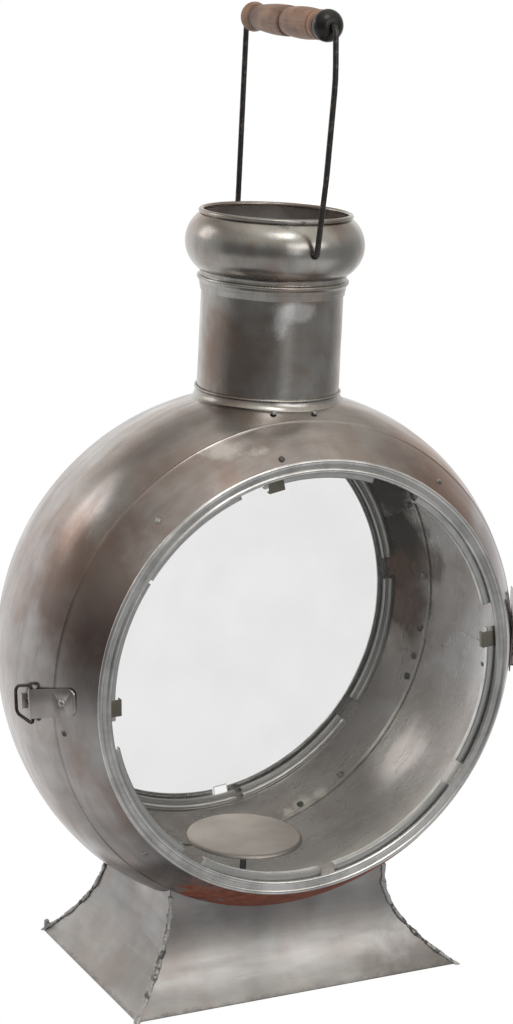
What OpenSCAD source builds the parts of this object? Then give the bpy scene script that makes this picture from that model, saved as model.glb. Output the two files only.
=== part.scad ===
// Round lantern of raw sheet iron. A hollow ring lies on its side between two panes
// of glass. The front pane is in a dished door, hinged on the right and latched on the
// left. A neck with an open bulb stands on top, a flared four-panel foot carries it,
// and a wire bail with a turned wooden grip swings in the bulb.
// The ring's axis runs front to back, the front faces -Y, and the floor is at z = 0.

/* [Sheet, wire and play] */
// Thickness of the iron sheet
sheet = 1.2; // [0.8:0.1:1.6]
// Radius of the bail's wire
wire_r = 2.5; // [2:0.1:3]
// Radius of the latch loop's wire
loop_wire_r = 1.5; // [1:0.1:1.8]
// Radial play of a pin or a wire in its hole
pin_play = 0.08; // [0.02:0.01:0.1]
// Gap between the shut door and the band
door_gap = 0.4; // [0.3:0.1:1]
// Thickness of the glass
glass_t = 3; // [2:0.5:4]

/* [Ring] */
// Height of the ring's lowest line above the floor
belly_h = 62; // [58:1:80]
// Radius of the ring where it is widest
crest_r = 242; // [238:1:250]
// Place of the widest line along the axis
crest_y = -20; // [-28:1:-10]
// Distance from the middle of the ring to the edge of each dish
half_depth = 118.5; // [114:0.5:124]
// How far the door's seam lies inside the widest line
door_seam_drop = 15; // [12:0.5:18]
// Distance of the door's seam in front of the middle
door_seam_y = 79; // [77:1:82]
// How far the rear seam lies inside the widest line
rear_seam_drop = 17; // [12:0.5:21]
// Distance of the rear seam behind the middle
rear_seam_y = 75; // [75:1:85]
// Height of each dish's bulge over a straight cone
dish_bulge = 1.6; // [0.8:0.1:3]
// Radius of the rolled hem on the door's edge
hem_r = 1.5; // [1:0.1:1.8]
// Width of the lap where the band's ends overlap inside
lap_w = 22; // [15:1:35]
// Angle of the lap below the level on the right
lap_angle = -6.6; // [-12:0.1:-5]

/* [Rims and panes] */
// How far the front rim's edge lies inside the door's seam
front_rim_drop = 27; // [22:0.5:30]
// How far the rear rim's edge lies inside the rear seam
rear_rim_drop = 23; // [18:0.5:28]
// Width of each rim's face
rim_w = 12; // [10:0.5:14]
// Thickness of a rim's face, in front of the dish and again behind it
rim_t = 1; // [0.8:0.1:1.4]
// Radius of the two round beads pressed in a rim
rim_bead_r = 1.5; // [1:0.1:2]
// How much the press has flattened the crest of each bead
rim_bead_flat = 0.1; // [0.05:0.05:0.3]
// How far a pane reaches behind its rim
pane_hold = 5.5; // [4:0.5:6]
// Width of the flat leg of the front strips
strip_leg = 9; // [8:0.5:12]
// Depth of the strips' edge that is turned to the rear
strip_depth = 8; // [5:0.5:12]
// Angle of each gap between two strips
strip_gap = 7; // [5.5:0.5:9]
// Angles of the gaps between the front strips
front_gaps = [7, 55, 103, 143, 183, 229, 274, 319];
// Angles of the gaps between the rear strips
rear_gaps = [1.5, 46, 91, 136, 181, 226, 278.5, 317.5];
// Angles of the clips on the front pane
clip_angles = [7, 103, 183];
// Width of a clip
clip_w = 15; // [10:1:16]
// How far a clip reaches over the pane, inside the rim
clip_reach = 11; // [6:1:16]
// Angle of the notch in the rear rim
notch_angle = 278; // [276:0.5:280]
// Width of the notch in the rear rim
notch_w = 14; // [10:1:16]

/* [Neck and bulb] */
// Outer radius of the neck
neck_r = 63.9; // [58:0.5:66]
// Height of the neck's top edge above the ring's crest
neck_h = 104; // [80:1:120]
// Height of the bead round the top of the neck
neck_bead_h = 16; // [12:1:20]
// How far that bead stands out from the neck
neck_bead_out = 4; // [3:0.5:6]
// How far the collar at the foot of the neck flares out
collar_out = 7.5; // [5:0.5:8]
// Height of the collar, from the sheet beside the neck to its rolled top edge
collar_h = 6.5; // [5:0.5:12]
// Radius of the bulb where it is widest
bulb_r = 80; // [76:1:90]
// Height of the bulb from the bead to its lip
bulb_h = 50; // [44:1:60]
// Height of the bulb's widest line above the bead
bulb_belly = 25.5; // [22:0.5:29]
// Radius of the bulb's mouth, at the outside of the sheet
mouth_r = 67.2; // [64:0.2:70]
// Radius of the rolled lip
lip_r = 2.3; // [1.8:0.1:3]

/* [Foot] */
// Width of the foot on the floor
foot_w = 337; // [310:1:360]
// Depth of the foot on the floor
foot_d = 216; // [205:1:230]
// Half the width of the foot's neck under the ring
foot_neck_half_w = 112; // [100:1:120]
// Distance of the foot's front panel from the middle, under the ring
foot_neck_front = 72; // [66:0.5:73]
// Distance of the foot's rear panel from the middle, under the ring
foot_neck_rear = 67; // [60:0.5:69]
// Height of the flare
flare_h = 85; // [70:1:90]
// How sharply the flare turns out at the floor
flare_power = 1.9; // [1.5:0.05:2.6]
// Width of the hem folded in under the panels
foot_hem = 9; // [6:1:14]
// Slight turn that the hand-made foot has under the ring
foot_turn = 2.9; // [0:0.1:3.2]
// Sideways shift of the foot on the floor
foot_shift_x = 8.4; // [0:0.1:10]
// Forward or backward shift of the foot on the floor
foot_shift_y = -3.8; // [-5:0.1:0]
// Width of the weld beads down the foot's corners
weld_w = 4; // [2.5:0.1:5]

/* [Candle] */
// Radius of the candle plate
plate_r = 55; // [40:1:70]
// Height of the plate's top above the inside of the ring
plate_lift = 51; // [35:1:80]
// Depth of the plate's turned-down edge
plate_edge = 3.5; // [2:0.5:6]
// Radius of the stem under the plate
stem_r = 3; // [2:0.5:5]
// Width across the flats of the stem's nut
nut_w = 10; // [9:0.5:14]

/* [Hinge] */
// Height of the hinge's middle above the ring's axis
hinge_rise = 18.5; // [10:0.5:24]
// Length of the hinge's barrel
hinge_len = 69; // [60:1:76]
// Distance of the hinge pin outside the door's seam
hinge_out = 4.2; // [4.2:0.1:5]
// Outer radius of the hinge's and the latch's rolled knuckles
knuckle_r = 3.2; // [3:0.1:3.3]
// Radius of the hinge pin
pin_r = 1.5; // [1.2:0.1:1.8]
// Length of each hinge leaf over the sheet
leaf_reach = 21; // [18:1:26]
// Radius of the rivets
rivet_r = 2; // [1.5:0.1:2.5]

/* [Latch] */
// Height of the latch's middle below the ring's axis
latch_drop = 17; // [10:1:24]
// Length of the strap on the door, in front of the seam
strap_front = 23; // [18:1:28]
// Width of the latch strap
strap_w = 25; // [18:1:28]
// How far the strap's front end stands above its rear end
strap_slope = 10; // [0:1:14]
// Distance of the strap's knuckle behind the seam
strap_back = 18; // [15:1:20]
// Distance of the knuckle's middle from the band
knuckle_out = 4; // [3.9:0.1:5]
// Length of the wire loop, from its pivot to its bow
loop_len = 21; // [18:1:24]
// Width of the loop at its bow
loop_w = 25; // [22:1:30]
// Height of the catch's nose over the band
nose_h = 4.8; // [3.5:0.1:5]
// Angle by which the resting loop stands off the catch
loop_lift = 10; // [8:0.5:14]

/* [Bail and grip] */
// Height of the bail's pivots above the neck's top edge
bail_pivot = 24; // [20:1:30]
// Height of the grip's axis above the bail's pivots
bail_h = 194.7; // [180:1:240]
// How far the front leg bows forward at its widest
bow_front = 101.5; // [98:0.5:112]
// Length of the wooden grip
wood_len = 130; // [110:1:132]
// Largest radius of the wooden grip
grip_r = 13.5; // [12:0.5:16]
// Length of the black bead in front of the grip
bead_len = 21; // [15:1:22]
// Place of the wooden grip's rear end
grip_rear = 70; // [66:0.5:71]

/* [Hidden] */

// Smoothness of the large turned pieces, and of the small ones
big_fn = 256;
small_fn = 40;
bend_fn = 96;
ball_fn = 72;

iron = "#77736f";
dark_iron = "#3a3633";
zinc = "#a9adab";
glass_tint = [0.86, 0.92, 0.9, 0.35];
brass = "#a89c74";
wood = "#8d6a50";
black = "#23201f";

// Radius of the arc that falls by drop over a run, from where it is level
function arc_radius(run, drop) = (run * run + drop * drop) / (2 * drop);

// Radii and heights that follow from the ring's crest
ring_z = belly_h + crest_r;
door_seam_r = crest_r - door_seam_drop;
rear_seam_r = crest_r - rear_seam_drop;
front_rim_r = door_seam_r - front_rim_drop;
rear_rim_r = rear_seam_r - rear_rim_drop;

// Arcs of the band in front of its crest and behind it
front_arc = arc_radius(door_seam_y + crest_y, crest_r - door_seam_r);
rear_arc = arc_radius(rear_seam_y - crest_y, crest_r - rear_seam_r);

// Outer radius of the band at a place along the axis
function band_r(y) =
    let (arc = y < crest_y ? front_arc : rear_arc)
    crest_r - arc + sqrt(arc * arc - (y - crest_y) * (y - crest_y));

// Slope of the band there, as an angle from the ring's axis
function band_slope(y) = asin((crest_y - y) / (y < crest_y ? front_arc : rear_arc));

// Each dish is an arc between its seam and its rim: [radius, centre]
function dish_arc(seam, rim) =
    let (
        chord = norm(rim - seam),
        arc = (chord * chord / 4 + dish_bulge * dish_bulge) / (2 * dish_bulge),
        along = (rim - seam) / chord,
        inward = [-abs(along[1]), sign(along[1]) * along[0]]
    )
    [arc, (seam + rim) / 2 + (arc - dish_bulge) * inward];
door_edge_y = -door_seam_y - door_gap;
door_arc = dish_arc([door_seam_r, door_edge_y], [front_rim_r, -half_depth]);
back_arc = dish_arc([rear_seam_r, rear_seam_y], [rear_rim_r, half_depth]);

// Outer radius of the door's dish at a place along the axis
function door_r(y) = door_arc[1][0] + sqrt(pow(door_arc[0], 2) - pow(y - door_arc[1][1], 2));

// Places of the panes, behind the front rim and in front of the rear one
front_pane_y = -half_depth + rim_t;
rear_pane_y = half_depth - rim_t;
front_open_r = front_rim_r - rim_w;
rear_open_r = rear_rim_r - rim_w;

// Stations of the neck and the bulb, above the floor
bulb_z = ring_z + crest_r + neck_h;
bead_z = bulb_z - neck_bead_h;
lip_z = bulb_z + bulb_h;
pivot_z = bulb_z + bail_pivot;
grip_z = pivot_z + bail_h;
bulb_foot_r = neck_r + sheet + 0.6;
collar_z = ring_z + band_r(-neck_r) + collar_h;

// How far the sheet bulges over a straight line between two places: [radius, along]
function band_bulge(a, b) = max([for (i = [0 : 12])
    let (p = a + (b - a) * i / 12) band_r(p[1]) - p[0]]);
function door_bulge(a, b) = max([for (i = [0 : 12])
    let (p = a + (b - a) * i / 12) p[1] > door_edge_y ? 0 : door_r(p[1]) - p[0]]);

// Hinge pin, on a vertical axis just outside the door's seam
hinge_x = door_seam_r + hinge_out;
hinge_y = -door_seam_y;
hinge_z0 = ring_z + hinge_rise - hinge_len / 2;
knuckle_gap = 0.4;
knuckle_len = (hinge_len - 2 * knuckle_gap) / 3;
leaf_rivets = [-1.2, 9];
band_leaf_lift = max(0, band_bulge(
    [door_seam_r, hinge_y], [band_r(hinge_y + leaf_reach), hinge_y + leaf_reach]));
door_leaf_lift = max(0, door_bulge(
    [door_seam_r, hinge_y], [door_r(hinge_y - leaf_reach), hinge_y - leaf_reach]));

// Latch: its pieces are flat across the ring, square to the ring's radius there
latch_angle = 180 + asin(latch_drop / door_seam_r);
latch_y = -door_seam_y + strap_back;
latch_r = band_r(latch_y) + knuckle_out;
strap_y = -door_seam_y - strap_front;
loop_shut_r = band_r(latch_y + loop_len) + sheet + loop_wire_r + 0.4;
loop_shut = asin((loop_shut_r - latch_r) / loop_len);
loop_rest = loop_shut + loop_lift;
nose_y = latch_y + loop_len - loop_wire_r - 7;

// Candle stem, from the plate down through the bottom of the ring
ring_floor = ring_z - band_r(0) + sheet;
plate_z = ring_floor + plate_lift;
stem_end = ring_z - crest_r - 10;

// Foot: half widths at the floor and at its neck, in the foot's own frame
neck_left = foot_neck_half_w + foot_shift_x;
neck_right = foot_neck_half_w - foot_shift_x;
neck_front = foot_neck_front + foot_shift_y;
neck_rear = foot_neck_rear - foot_shift_y;
flare_steps = 14;
foot_rise = 130;

// A frame with z along the ring's axis, to the rear, and x to the right
module about_ring() {
    translate([0, 0, ring_z]) rotate([-90, 0, 0]) children();
}

// A ring turned from a section that is drawn as [radius, place along the axis]
module turned() {
    about_ring() rotate_extrude($fn = big_fn) children();
}

// A stretch of such a ring between two angles, counted from the right upwards
module turned_part(from, to) {
    about_ring() rotate([0, 0, -to]) rotate_extrude(angle = to - from, $fn = big_fn) children();
}

// A frame on the ring at an angle: x outwards, z to the rear, y along the ring, upwards on the left
module at_angle(angle) {
    about_ring() rotate([0, 0, -angle]) children();
}

// All that lies between the axis and an arc, from one place along the axis to another
module under_arc(centre, radius, from, to) {
    intersection() {
        union() {
            translate(centre) circle(radius, $fn = big_fn);
            translate([0, from]) square([max(centre[0], 1), to - from]);
        }
        translate([0, from]) square([crest_r + 20, to - from]);
    }
}

module band_area(inset = 0, from = -door_seam_y, to = rear_seam_y) {
    if (from < crest_y)
        under_arc([crest_r - front_arc, crest_y], front_arc - inset, from, min(crest_y, to));
    if (to > crest_y)
        under_arc([crest_r - rear_arc, crest_y], rear_arc - inset, max(crest_y, from), to);
}

module door_area(inset = 0) {
    under_arc(door_arc[1], door_arc[0] - inset, -half_depth, door_edge_y);
}

module rear_area(inset = 0) {
    under_arc(back_arc[1], back_arc[0] - inset, rear_seam_y, half_depth);
}

// The band's outside as a solid, which cuts what stands on it
module band_solid() {
    turned() band_area();
}

// An outline drawn in [y, z] run along X, and one drawn in [x, z] run along Y
module along_x(from, to) {
    translate([from, 0, 0]) rotate([90, 0, 90]) linear_extrude(to - from) children();
}

module along_y(from, to) {
    translate([0, to, 0]) rotate([90, 0, 0]) linear_extrude(to - from) children();
}

// A round piece of wire bent in its own plane, with one bend radius for each corner
function unit(v) = v / norm(v);
function turn_at(a, b, c) =
    let (u = unit(b - a), v = unit(c - b))
    atan2(u[0] * v[1] - u[1] * v[0], u[0] * v[0] + u[1] * v[1]);
function setback(points, bends, i) = i == 0 || i == len(points) - 1
    ? 0
    : bends[i - 1] * tan(abs(turn_at(points[i - 1], points[i], points[i + 1])) / 2);

module bent_wire(points, bends, radius) {
    for (i = [1 : len(points) - 1]) {
        heading = unit(points[i] - points[i - 1]);
        start = points[i - 1] + heading * setback(points, bends, i - 1);
        run = norm(points[i] - points[i - 1]) - setback(points, bends, i - 1)
            - setback(points, bends, i);
        translate(start) rotate([0, 90, atan2(heading[1], heading[0])])
            cylinder(run, r = radius, $fn = small_fn);
        if (i < len(points) - 1)
            wire_bend(points[i - 1], points[i], points[i + 1], bends[i - 1], radius);
    }
}

// Bends are a hair thinner than the straight runs and reach a hair into them
bend_thinner = 0.03;
bend_overlap = 0.1;

module wire_bend(before, corner, after, bend, radius) {
    turn = turn_at(before, corner, after);
    side = sign(turn);
    heading = unit(corner - before);
    start = corner - heading * bend * tan(abs(turn) / 2);
    centre = start + side * bend * [-heading[1], heading[0]];
    from = atan2(start[1] - centre[1], start[0] - centre[0]);
    extra = bend_overlap / bend * 180 / PI;
    translate(centre) rotate([0, 0, (side > 0 ? from : from + turn) - extra])
        rotate_extrude(angle = abs(turn) + 2 * extra, $fn = bend_fn) translate([bend, 0])
            circle(radius - bend_thinner, $fn = small_fn);
}

// A rivet along +Z: its head stands on z = 0, and its shank goes down through the sheets
module rivet(grip) {
    intersection() {
        translate([0, 0, -rivet_r]) sphere(rivet_r * 2.1, $fn = small_fn);
        cylinder(rivet_r * 2, r = rivet_r * 2, $fn = small_fn);
    }
    translate([0, 0, -grip - rivet_r / 2]) cylinder(grip + rivet_r / 2, r = rivet_r, $fn = small_fn);
}

module rivet_hole() {
    translate([0, 0, -12]) cylinder(24, r = rivet_r, $fn = small_fn);
}

// Outer face of a hinge leaf, from its knuckle to its far end, and a place on such a face
pin_place = [hinge_x, hinge_y];
band_leaf_end = [band_r(hinge_y + leaf_reach) + band_leaf_lift, hinge_y + leaf_reach];
door_leaf_end = [door_r(hinge_y - leaf_reach) + door_leaf_lift, hinge_y - leaf_reach];
function leaf_out(far) =
    let (run = unit(far - pin_place))
    run[1] > 0 ? [run[1], -run[0]] : [-run[1], run[0]];
function leaf_face(far) =
    [pin_place - leaf_out(far) * (knuckle_r - sheet), far + leaf_out(far) * sheet];
function place_on(face, share) = face[0] + (face[1] - face[0]) * share;
function face_tilt(face) =
    let (run = (face[1] - face[0]) * sign(face[1][1] - face[0][1])) atan2(run[0], run[1]);

// Places of the rivets, each with +Z pointing out of the sheet
strap_lift = max(0, door_bulge([door_r(strap_y), strap_y], [door_seam_r, door_edge_y]));
strap_start = [door_r(strap_y) + strap_lift, strap_y];
strap_knuckle = [latch_r, latch_y];
function across(a, b) = let (run = unit(b - a)) [run[1], -run[0]];

// The strap bends over the hem where a straight one would run into it
hem_place = [door_seam_r - 0.3, door_edge_y - hem_r];
strap_straight = strap_start + (strap_knuckle - strap_start)
    * (hem_place[1] - strap_start[1]) / (strap_knuckle[1] - strap_start[1]);
strap_bend = [max(strap_straight[0] - knuckle_r / 2, hem_place[0] + hem_r), hem_place[1]];
strap_out = across(strap_start, strap_bend);
strap_back_out = across(strap_bend, strap_knuckle);
strap_face = [strap_start + strap_out * sheet, strap_bend + strap_out * sheet];

module at_leaf_rivets(face, share) {
    place = place_on(face, share);
    for (dz = leaf_rivets)
        translate([place[0], place[1], ring_z + dz])
            rotate([0, 90, 0]) rotate([face_tilt(face), 0, 0]) children();
}

module at_band_rivets() {
    at_leaf_rivets(leaf_face(band_leaf_end), 0.66) children();
}

module at_door_rivets() {
    at_leaf_rivets(leaf_face(door_leaf_end), 0.72) children();
}

module at_strap_rivet() {
    place = place_on(strap_face, 0.55);
    at_angle(latch_angle) translate([place[0], 8, place[1]])
        rotate([0, 90 + face_tilt(strap_face), 0]) children();
}

module at_catch_rivet() {
    y = nose_y - 4.1;
    slope = band_slope(y);
    at_angle(latch_angle)
        translate([band_r(y) + sheet * cos(slope), -1, y - sheet * sin(slope)])
            rotate([0, 90 + slope, 0]) children();
}

// Hollow ring: band, lap and rear dish. The band's edge is turned up inside the neck.
upstand_h = 6;
upstand_gap = 0.1;

module ring_band() {
    color(iron) difference() {
        union() {
            band_solid();
            translate([0, 0, ring_z + crest_r - 40])
                cylinder(40 + upstand_h, r = neck_r - sheet - upstand_gap, $fn = big_fn);
        }
        turned() band_area(sheet);
        translate([0, 0, ring_z])
            cylinder(crest_r + 20, r = neck_r - 2 * sheet - upstand_gap, $fn = big_fn);
        cylinder(ring_z, r = stem_r, $fn = small_fn);
        at_band_rivets() rivet_hole();
        at_catch_rivet() rivet_hole();
    }
}

module band_lap_strip() {
    half = lap_w / crest_r * 90 / PI;
    color(iron) turned_part(lap_angle - half, lap_angle + half) difference() {
        band_area(sheet, -door_seam_y + 6, rear_seam_y);
        band_area(2 * sheet, -door_seam_y + 6, rear_seam_y);
    }
}

module rear_dish() {
    color(iron) turned() difference() {
        rear_area();
        rear_area(sheet);
    }
}

// A rim's section: a face over the dish's edge, a flat behind it, and two pressed beads
module rim_area(edge_r, side) {
    face = side * half_depth;
    inner = edge_r - rim_w + rim_bead_r;
    outer = edge_r + 0.6 - rim_bead_r;
    crest = rim_t - 0.5 + rim_bead_r - rim_bead_flat;
    translate([inner, min(face, face + side * rim_t)]) square([outer - inner, rim_t]);
    for (r = [inner, outer])
        intersection() {
            translate([r, face + side * (rim_t - 0.5)]) circle(rim_bead_r, $fn = small_fn);
            translate([0, min(face, face + side * crest)]) square([crest_r, crest]);
        }
    translate([edge_r - rim_w + 0.3, min(face, face - side * rim_t)]) square([rim_w - 2.2, rim_t]);
}

module notch_cut() {
    at_angle(notch_angle) translate([rear_open_r - 3, -notch_w / 2, half_depth - 8])
        cube([rim_w, notch_w, 16]);
}

module rear_rim() {
    color(zinc) difference() {
        turned() rim_area(rear_rim_r, 1);
        notch_cut();
    }
}

module rear_glass() {
    color(glass_tint) difference() {
        turned() translate([0, rear_pane_y - glass_t]) square([rear_open_r + pane_hold, glass_t]);
        notch_cut();
    }
}

// Ring stretches between neighbouring gaps
module between_gaps(gaps) {
    for (i = [0 : len(gaps) - 1]) {
        next = i == len(gaps) - 1 ? gaps[0] + 360 : gaps[i + 1];
        turned_part(gaps[i] + strip_gap / 2, next - strip_gap / 2) children();
    }
}

// Rear strips: an edge that presses on the pane, and a flat that reaches the dish's wall
module rear_glass_strips() {
    pane = rear_pane_y - glass_t;
    color(zinc) between_gaps(rear_gaps) {
        intersection() {
            union() {
                translate([rear_open_r + pane_hold - sheet, pane - 3.5]) square([sheet, 3.5]);
                translate([rear_open_r + pane_hold - sheet, pane - 3.5]) square([30, sheet]);
            }
            rear_area(sheet);
        }
    }
}

// Tack weld: a low cap that stands on x = 0 and points along +X
module tack(r, h) {
    ball = (r * r + h * h) / (2 * h);
    intersection() {
        translate([h - ball, 0, 0]) sphere(ball, $fn = ball_fn);
        translate([0, -2 * r, -2 * r]) cube([2 * h, 4 * r, 4 * r]);
    }
}

rear_tack_angles = [27, 7, -7, -14.5, -20, -51, -64];

module rear_seam_tacks() {
    tack_y = rear_seam_y + 4;
    centre = back_arc[1];
    wall = centre[0] + sqrt(pow(back_arc[0] - sheet, 2) - pow(tack_y - centre[1], 2));
    lean = atan2(tack_y - centre[1], wall - centre[0]);
    color(dark_iron) for (angle = rear_tack_angles)
        at_angle(angle) translate([wall - 0.06, 0, tack_y]) rotate([0, 180 - lean, 0])
            tack(3.2, 1.6);
}

// Neck, collar and bulb, turned about the upright axis
module neck_tube() {
    color(iron) difference() {
        translate([0, 0, ring_z]) cylinder(crest_r + neck_h, r = neck_r, $fn = big_fn);
        translate([0, 0, ring_z - 1])
            cylinder(crest_r + neck_h + 2, r = neck_r - sheet, $fn = big_fn);
        band_solid();
    }
}

module collar_area() {
    arc = arc_radius(collar_h + 2, collar_out);
    difference() {
        translate([neck_r, collar_z - collar_h - 12])
            square([collar_out + sheet, collar_h + 12]);
        translate([neck_r + sheet + arc, collar_z]) circle(arc, $fn = 96);
    }
    translate([neck_r + sheet, collar_z]) circle(sheet, $fn = small_fn);
}

module neck_collar() {
    color(iron) difference() {
        rotate_extrude($fn = big_fn) intersection() {
            collar_area();
            translate([neck_r, 0]) square([collar_out + 2 * sheet, 2 * collar_z]);
        }
        band_solid();
    }
}

collar_tack_angles = [-110, -80];

module collar_tacks() {
    reach = neck_r + collar_out + sheet + 2.6;
    color(dark_iron) for (angle = collar_tack_angles) {
        y = reach * sin(angle);
        x = reach * cos(angle);
        tilt = atan2(band_r(y - 0.5) - band_r(y + 0.5), 1);
        at_angle(90 - asin(x / band_r(y))) translate([band_r(y) + 0.03, 0, y])
            rotate([0, -tilt, 0]) tack(2.4, 1.6);
    }
}

module neck_bead() {
    arc = arc_radius(neck_bead_h / 2, neck_bead_out - sheet - 0.6);
    color(iron) rotate_extrude($fn = big_fn) {
        intersection() {
            translate([neck_r + neck_bead_out - arc, bead_z + neck_bead_h / 2])
                circle(arc, $fn = 96);
            translate([neck_r, bead_z]) square([30, neck_bead_h]);
        }
        translate([neck_r, bead_z - 7]) square([0.8, 7]);
    }
}

module bulb_area(inset = 0) {
    belly_z = bulb_z + bulb_belly;
    low = arc_radius(bulb_belly, bulb_r - bulb_foot_r);
    high = arc_radius(bulb_h - bulb_belly, bulb_r - mouth_r);
    intersection() {
        translate([bulb_r - low, belly_z]) circle(low - inset, $fn = 96);
        translate([bulb_r - low, bulb_z]) square([low, bulb_belly]);
    }
    intersection() {
        translate([bulb_r - high, belly_z]) circle(high - inset, $fn = 96);
        translate([bulb_r - high, belly_z]) square([high, bulb_h - bulb_belly]);
    }
    translate([0, bulb_z]) square([bulb_r - low, bulb_belly]);
    translate([0, belly_z]) square([bulb_r - high, bulb_h - bulb_belly]);
}

module bulb() {
    color(iron) difference() {
        rotate_extrude($fn = big_fn) difference() {
            bulb_area();
            bulb_area(sheet);
        }
        along_y(-bulb_r - 5, bulb_r + 5) translate([0, pivot_z])
            circle(wire_r + pin_play, $fn = small_fn);
    }
}

module bulb_lip() {
    color(iron) rotate_extrude($fn = big_fn) intersection() {
        translate([mouth_r - sheet / 2, lip_z + 0.8 * lip_r]) circle(lip_r, $fn = small_fn);
        translate([0, lip_z]) square([mouth_r * 2, 3 * lip_r]);
    }
}

// Foot: four curved panels, butted at the corners and hemmed under
function flare_at(z, base, neck, inset) =
    let (
        up = max(0, 1 - z / flare_h),
        slope = (base - neck) * flare_power / flare_h * pow(up, flare_power - 1)
    )
    neck + (base - neck) * pow(up, flare_power) - inset * sqrt(1 + slope * slope);
function flare_side(base, neck, inset) = concat(
    [for (i = [0 : flare_steps])
        let (z = flare_h * i / flare_steps) [flare_at(z, base, neck, inset), z]],
    [[neck - inset, foot_rise]]
);
function mirrored(points) =
    [for (i = [len(points) - 1 : -1 : 0]) [-points[i][0], points[i][1]]];

module foot_front_view(inset = 0) {
    polygon(concat(
        flare_side(foot_w / 2, neck_right, inset),
        mirrored(flare_side(foot_w / 2, neck_left, inset))
    ));
}

module foot_side_view(inset = 0) {
    polygon(concat(
        flare_side(foot_d / 2, neck_rear, inset),
        mirrored(flare_side(foot_d / 2, neck_front, inset))
    ));
}

module in_foot() {
    translate([foot_shift_x, foot_shift_y, 0]) rotate([0, 0, foot_turn]) children();
}

// A panel across the foot, in front when side is -1 and at the rear when it is 1
module cross_panel(side) {
    color(iron) difference() {
        in_foot() {
            intersection() {
                along_x(-foot_w, foot_w) intersection() {
                    difference() {
                        foot_side_view();
                        foot_side_view(sheet);
                    }
                    translate([side > 0 ? 0 : -foot_d, 0]) square([foot_d, foot_rise]);
                }
                along_y(-foot_d, foot_d) foot_front_view();
            }
            intersection() {
                along_x(-foot_w, foot_w)
                    translate([side > 0 ? foot_d / 2 - foot_hem : -foot_d / 2 + sheet, 0])
                        square([foot_hem - sheet, sheet]);
                along_y(-foot_d, foot_d) foot_front_view(sheet);
            }
        }
        band_solid();
    }
}

// A panel at the left when side is -1 and at the right when it is 1
module end_panel(side) {
    color(iron) difference() {
        in_foot() {
            intersection() {
                along_y(-foot_d, foot_d) intersection() {
                    difference() {
                        foot_front_view();
                        foot_front_view(sheet);
                    }
                    translate([side > 0 ? 0 : -foot_w, 0]) square([foot_w, foot_rise]);
                }
                along_x(-foot_w, foot_w) foot_side_view(sheet);
            }
            translate([side > 0 ? foot_w / 2 - foot_hem : -foot_w / 2 + sheet,
                -foot_d / 2 + foot_hem, 0])
                cube([foot_hem - sheet, foot_d - 2 * foot_hem, sheet]);
        }
        band_solid();
    }
}

module foot_front() cross_panel(-1);
module foot_rear() cross_panel(1);
module foot_left() end_panel(-1);
module foot_right() end_panel(1);

// Weld bead down a corner: level slices that lie on the two panels and swell unevenly
weld_slices = flare_steps + 1;
function weld_size(i, corner) = weld_w * (0.75 + 0.25 * sin(i * 137 + corner * 71));
function weld_ring(i, corner, sx, sy, neck_x, neck_y) =
    let (
        z = i < flare_steps ? flare_h * i / flare_steps : flare_h + (i - flare_steps) * 12,
        x = flare_at(z, foot_w / 2, neck_x, 0),
        y = flare_at(z, foot_d / 2, neck_y, 0),
        w = weld_size(i, corner),
        h = w * 0.45
    )
    [for (p = [[0, 0], [-w, 0], [-w * 0.8, h], [h, h], [h, -w * 0.8], [0, -w]])
        [sx * (x + p[0]), sy * (y + p[1]), z]];

module corner_weld(corner, sx, sy, neck_x, neck_y) {
    points = [for (i = [0 : weld_slices]) each weld_ring(i, corner, sx, sy, neck_x, neck_y)];
    quads = [for (i = [0 : weld_slices - 1], k = [0 : 5])
        let (a = 6 * i + k, b = 6 * i + (k + 1) % 6)
        [[a, a + 6, b], [b, a + 6, b + 6]]];
    sides = [for (q = quads) each q];
    low = [[0, 1, 2], [0, 2, 3], [0, 3, 4], [0, 4, 5]];
    high = [for (t = low) [for (k = [2 : -1 : 0]) t[k] + 6 * weld_slices]];
    faces = concat(sides, low, high);
    flip = sx * sy > 0;
    polyhedron(points, flip ? [for (t = faces) [t[2], t[1], t[0]]] : faces);
}

// Nub of weld metal left standing on the rear left corner
nub_in = 3.4;
nub_h = 11;

module foot_corner_welds() {
    color(dark_iron) in_foot() {
        corner_weld(1, -1, -1, neck_left, neck_front);
        corner_weld(2, 1, -1, neck_right, neck_front);
        corner_weld(3, 1, 1, neck_right, neck_rear);
        corner_weld(4, -1, 1, neck_left, neck_rear);
        difference() {
            translate([nub_in - foot_w / 2, foot_d / 2 - nub_in, 0.3])
                cylinder(nub_h - 0.3, r = 2.2, $fn = small_fn);
            intersection() {
                along_x(-foot_w, foot_w) foot_side_view();
                along_y(-foot_d, foot_d) foot_front_view();
            }
        }
    }
}

// Candle plate on its stem, with a nut under the ring
module candle_plate() {
    color(zinc) translate([0, 0, plate_z]) rotate_extrude($fn = 96) {
        translate([0, -sheet]) square([plate_r - plate_edge, sheet]);
        translate([plate_r - plate_edge, -plate_edge]) intersection() {
            difference() {
                circle(plate_edge, $fn = 64);
                circle(plate_edge - sheet, $fn = 64);
            }
            square(plate_edge);
        }
    }
}

module candle_stem() {
    color(dark_iron) translate([0, 0, stem_end])
        cylinder(plate_z - sheet - stem_end, r = stem_r, $fn = small_fn);
}

module stem_collar() {
    color(dark_iron) intersection() {
        difference() {
            translate([0, 0, ring_floor - 3]) cylinder(8, r = stem_r + 4.5, $fn = ball_fn);
            translate([0, 0, ring_floor - 4]) cylinder(10, r = stem_r, $fn = ball_fn);
        }
        turned() band_area(sheet);
    }
}

washer_z = ring_z - crest_r - 2.2;

module stem_washer() {
    color(zinc) difference() {
        translate([0, 0, washer_z]) cylinder(4, r = stem_r + 5, $fn = ball_fn);
        translate([0, 0, washer_z - 1]) cylinder(6, r = stem_r, $fn = ball_fn);
        band_solid();
    }
}

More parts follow.
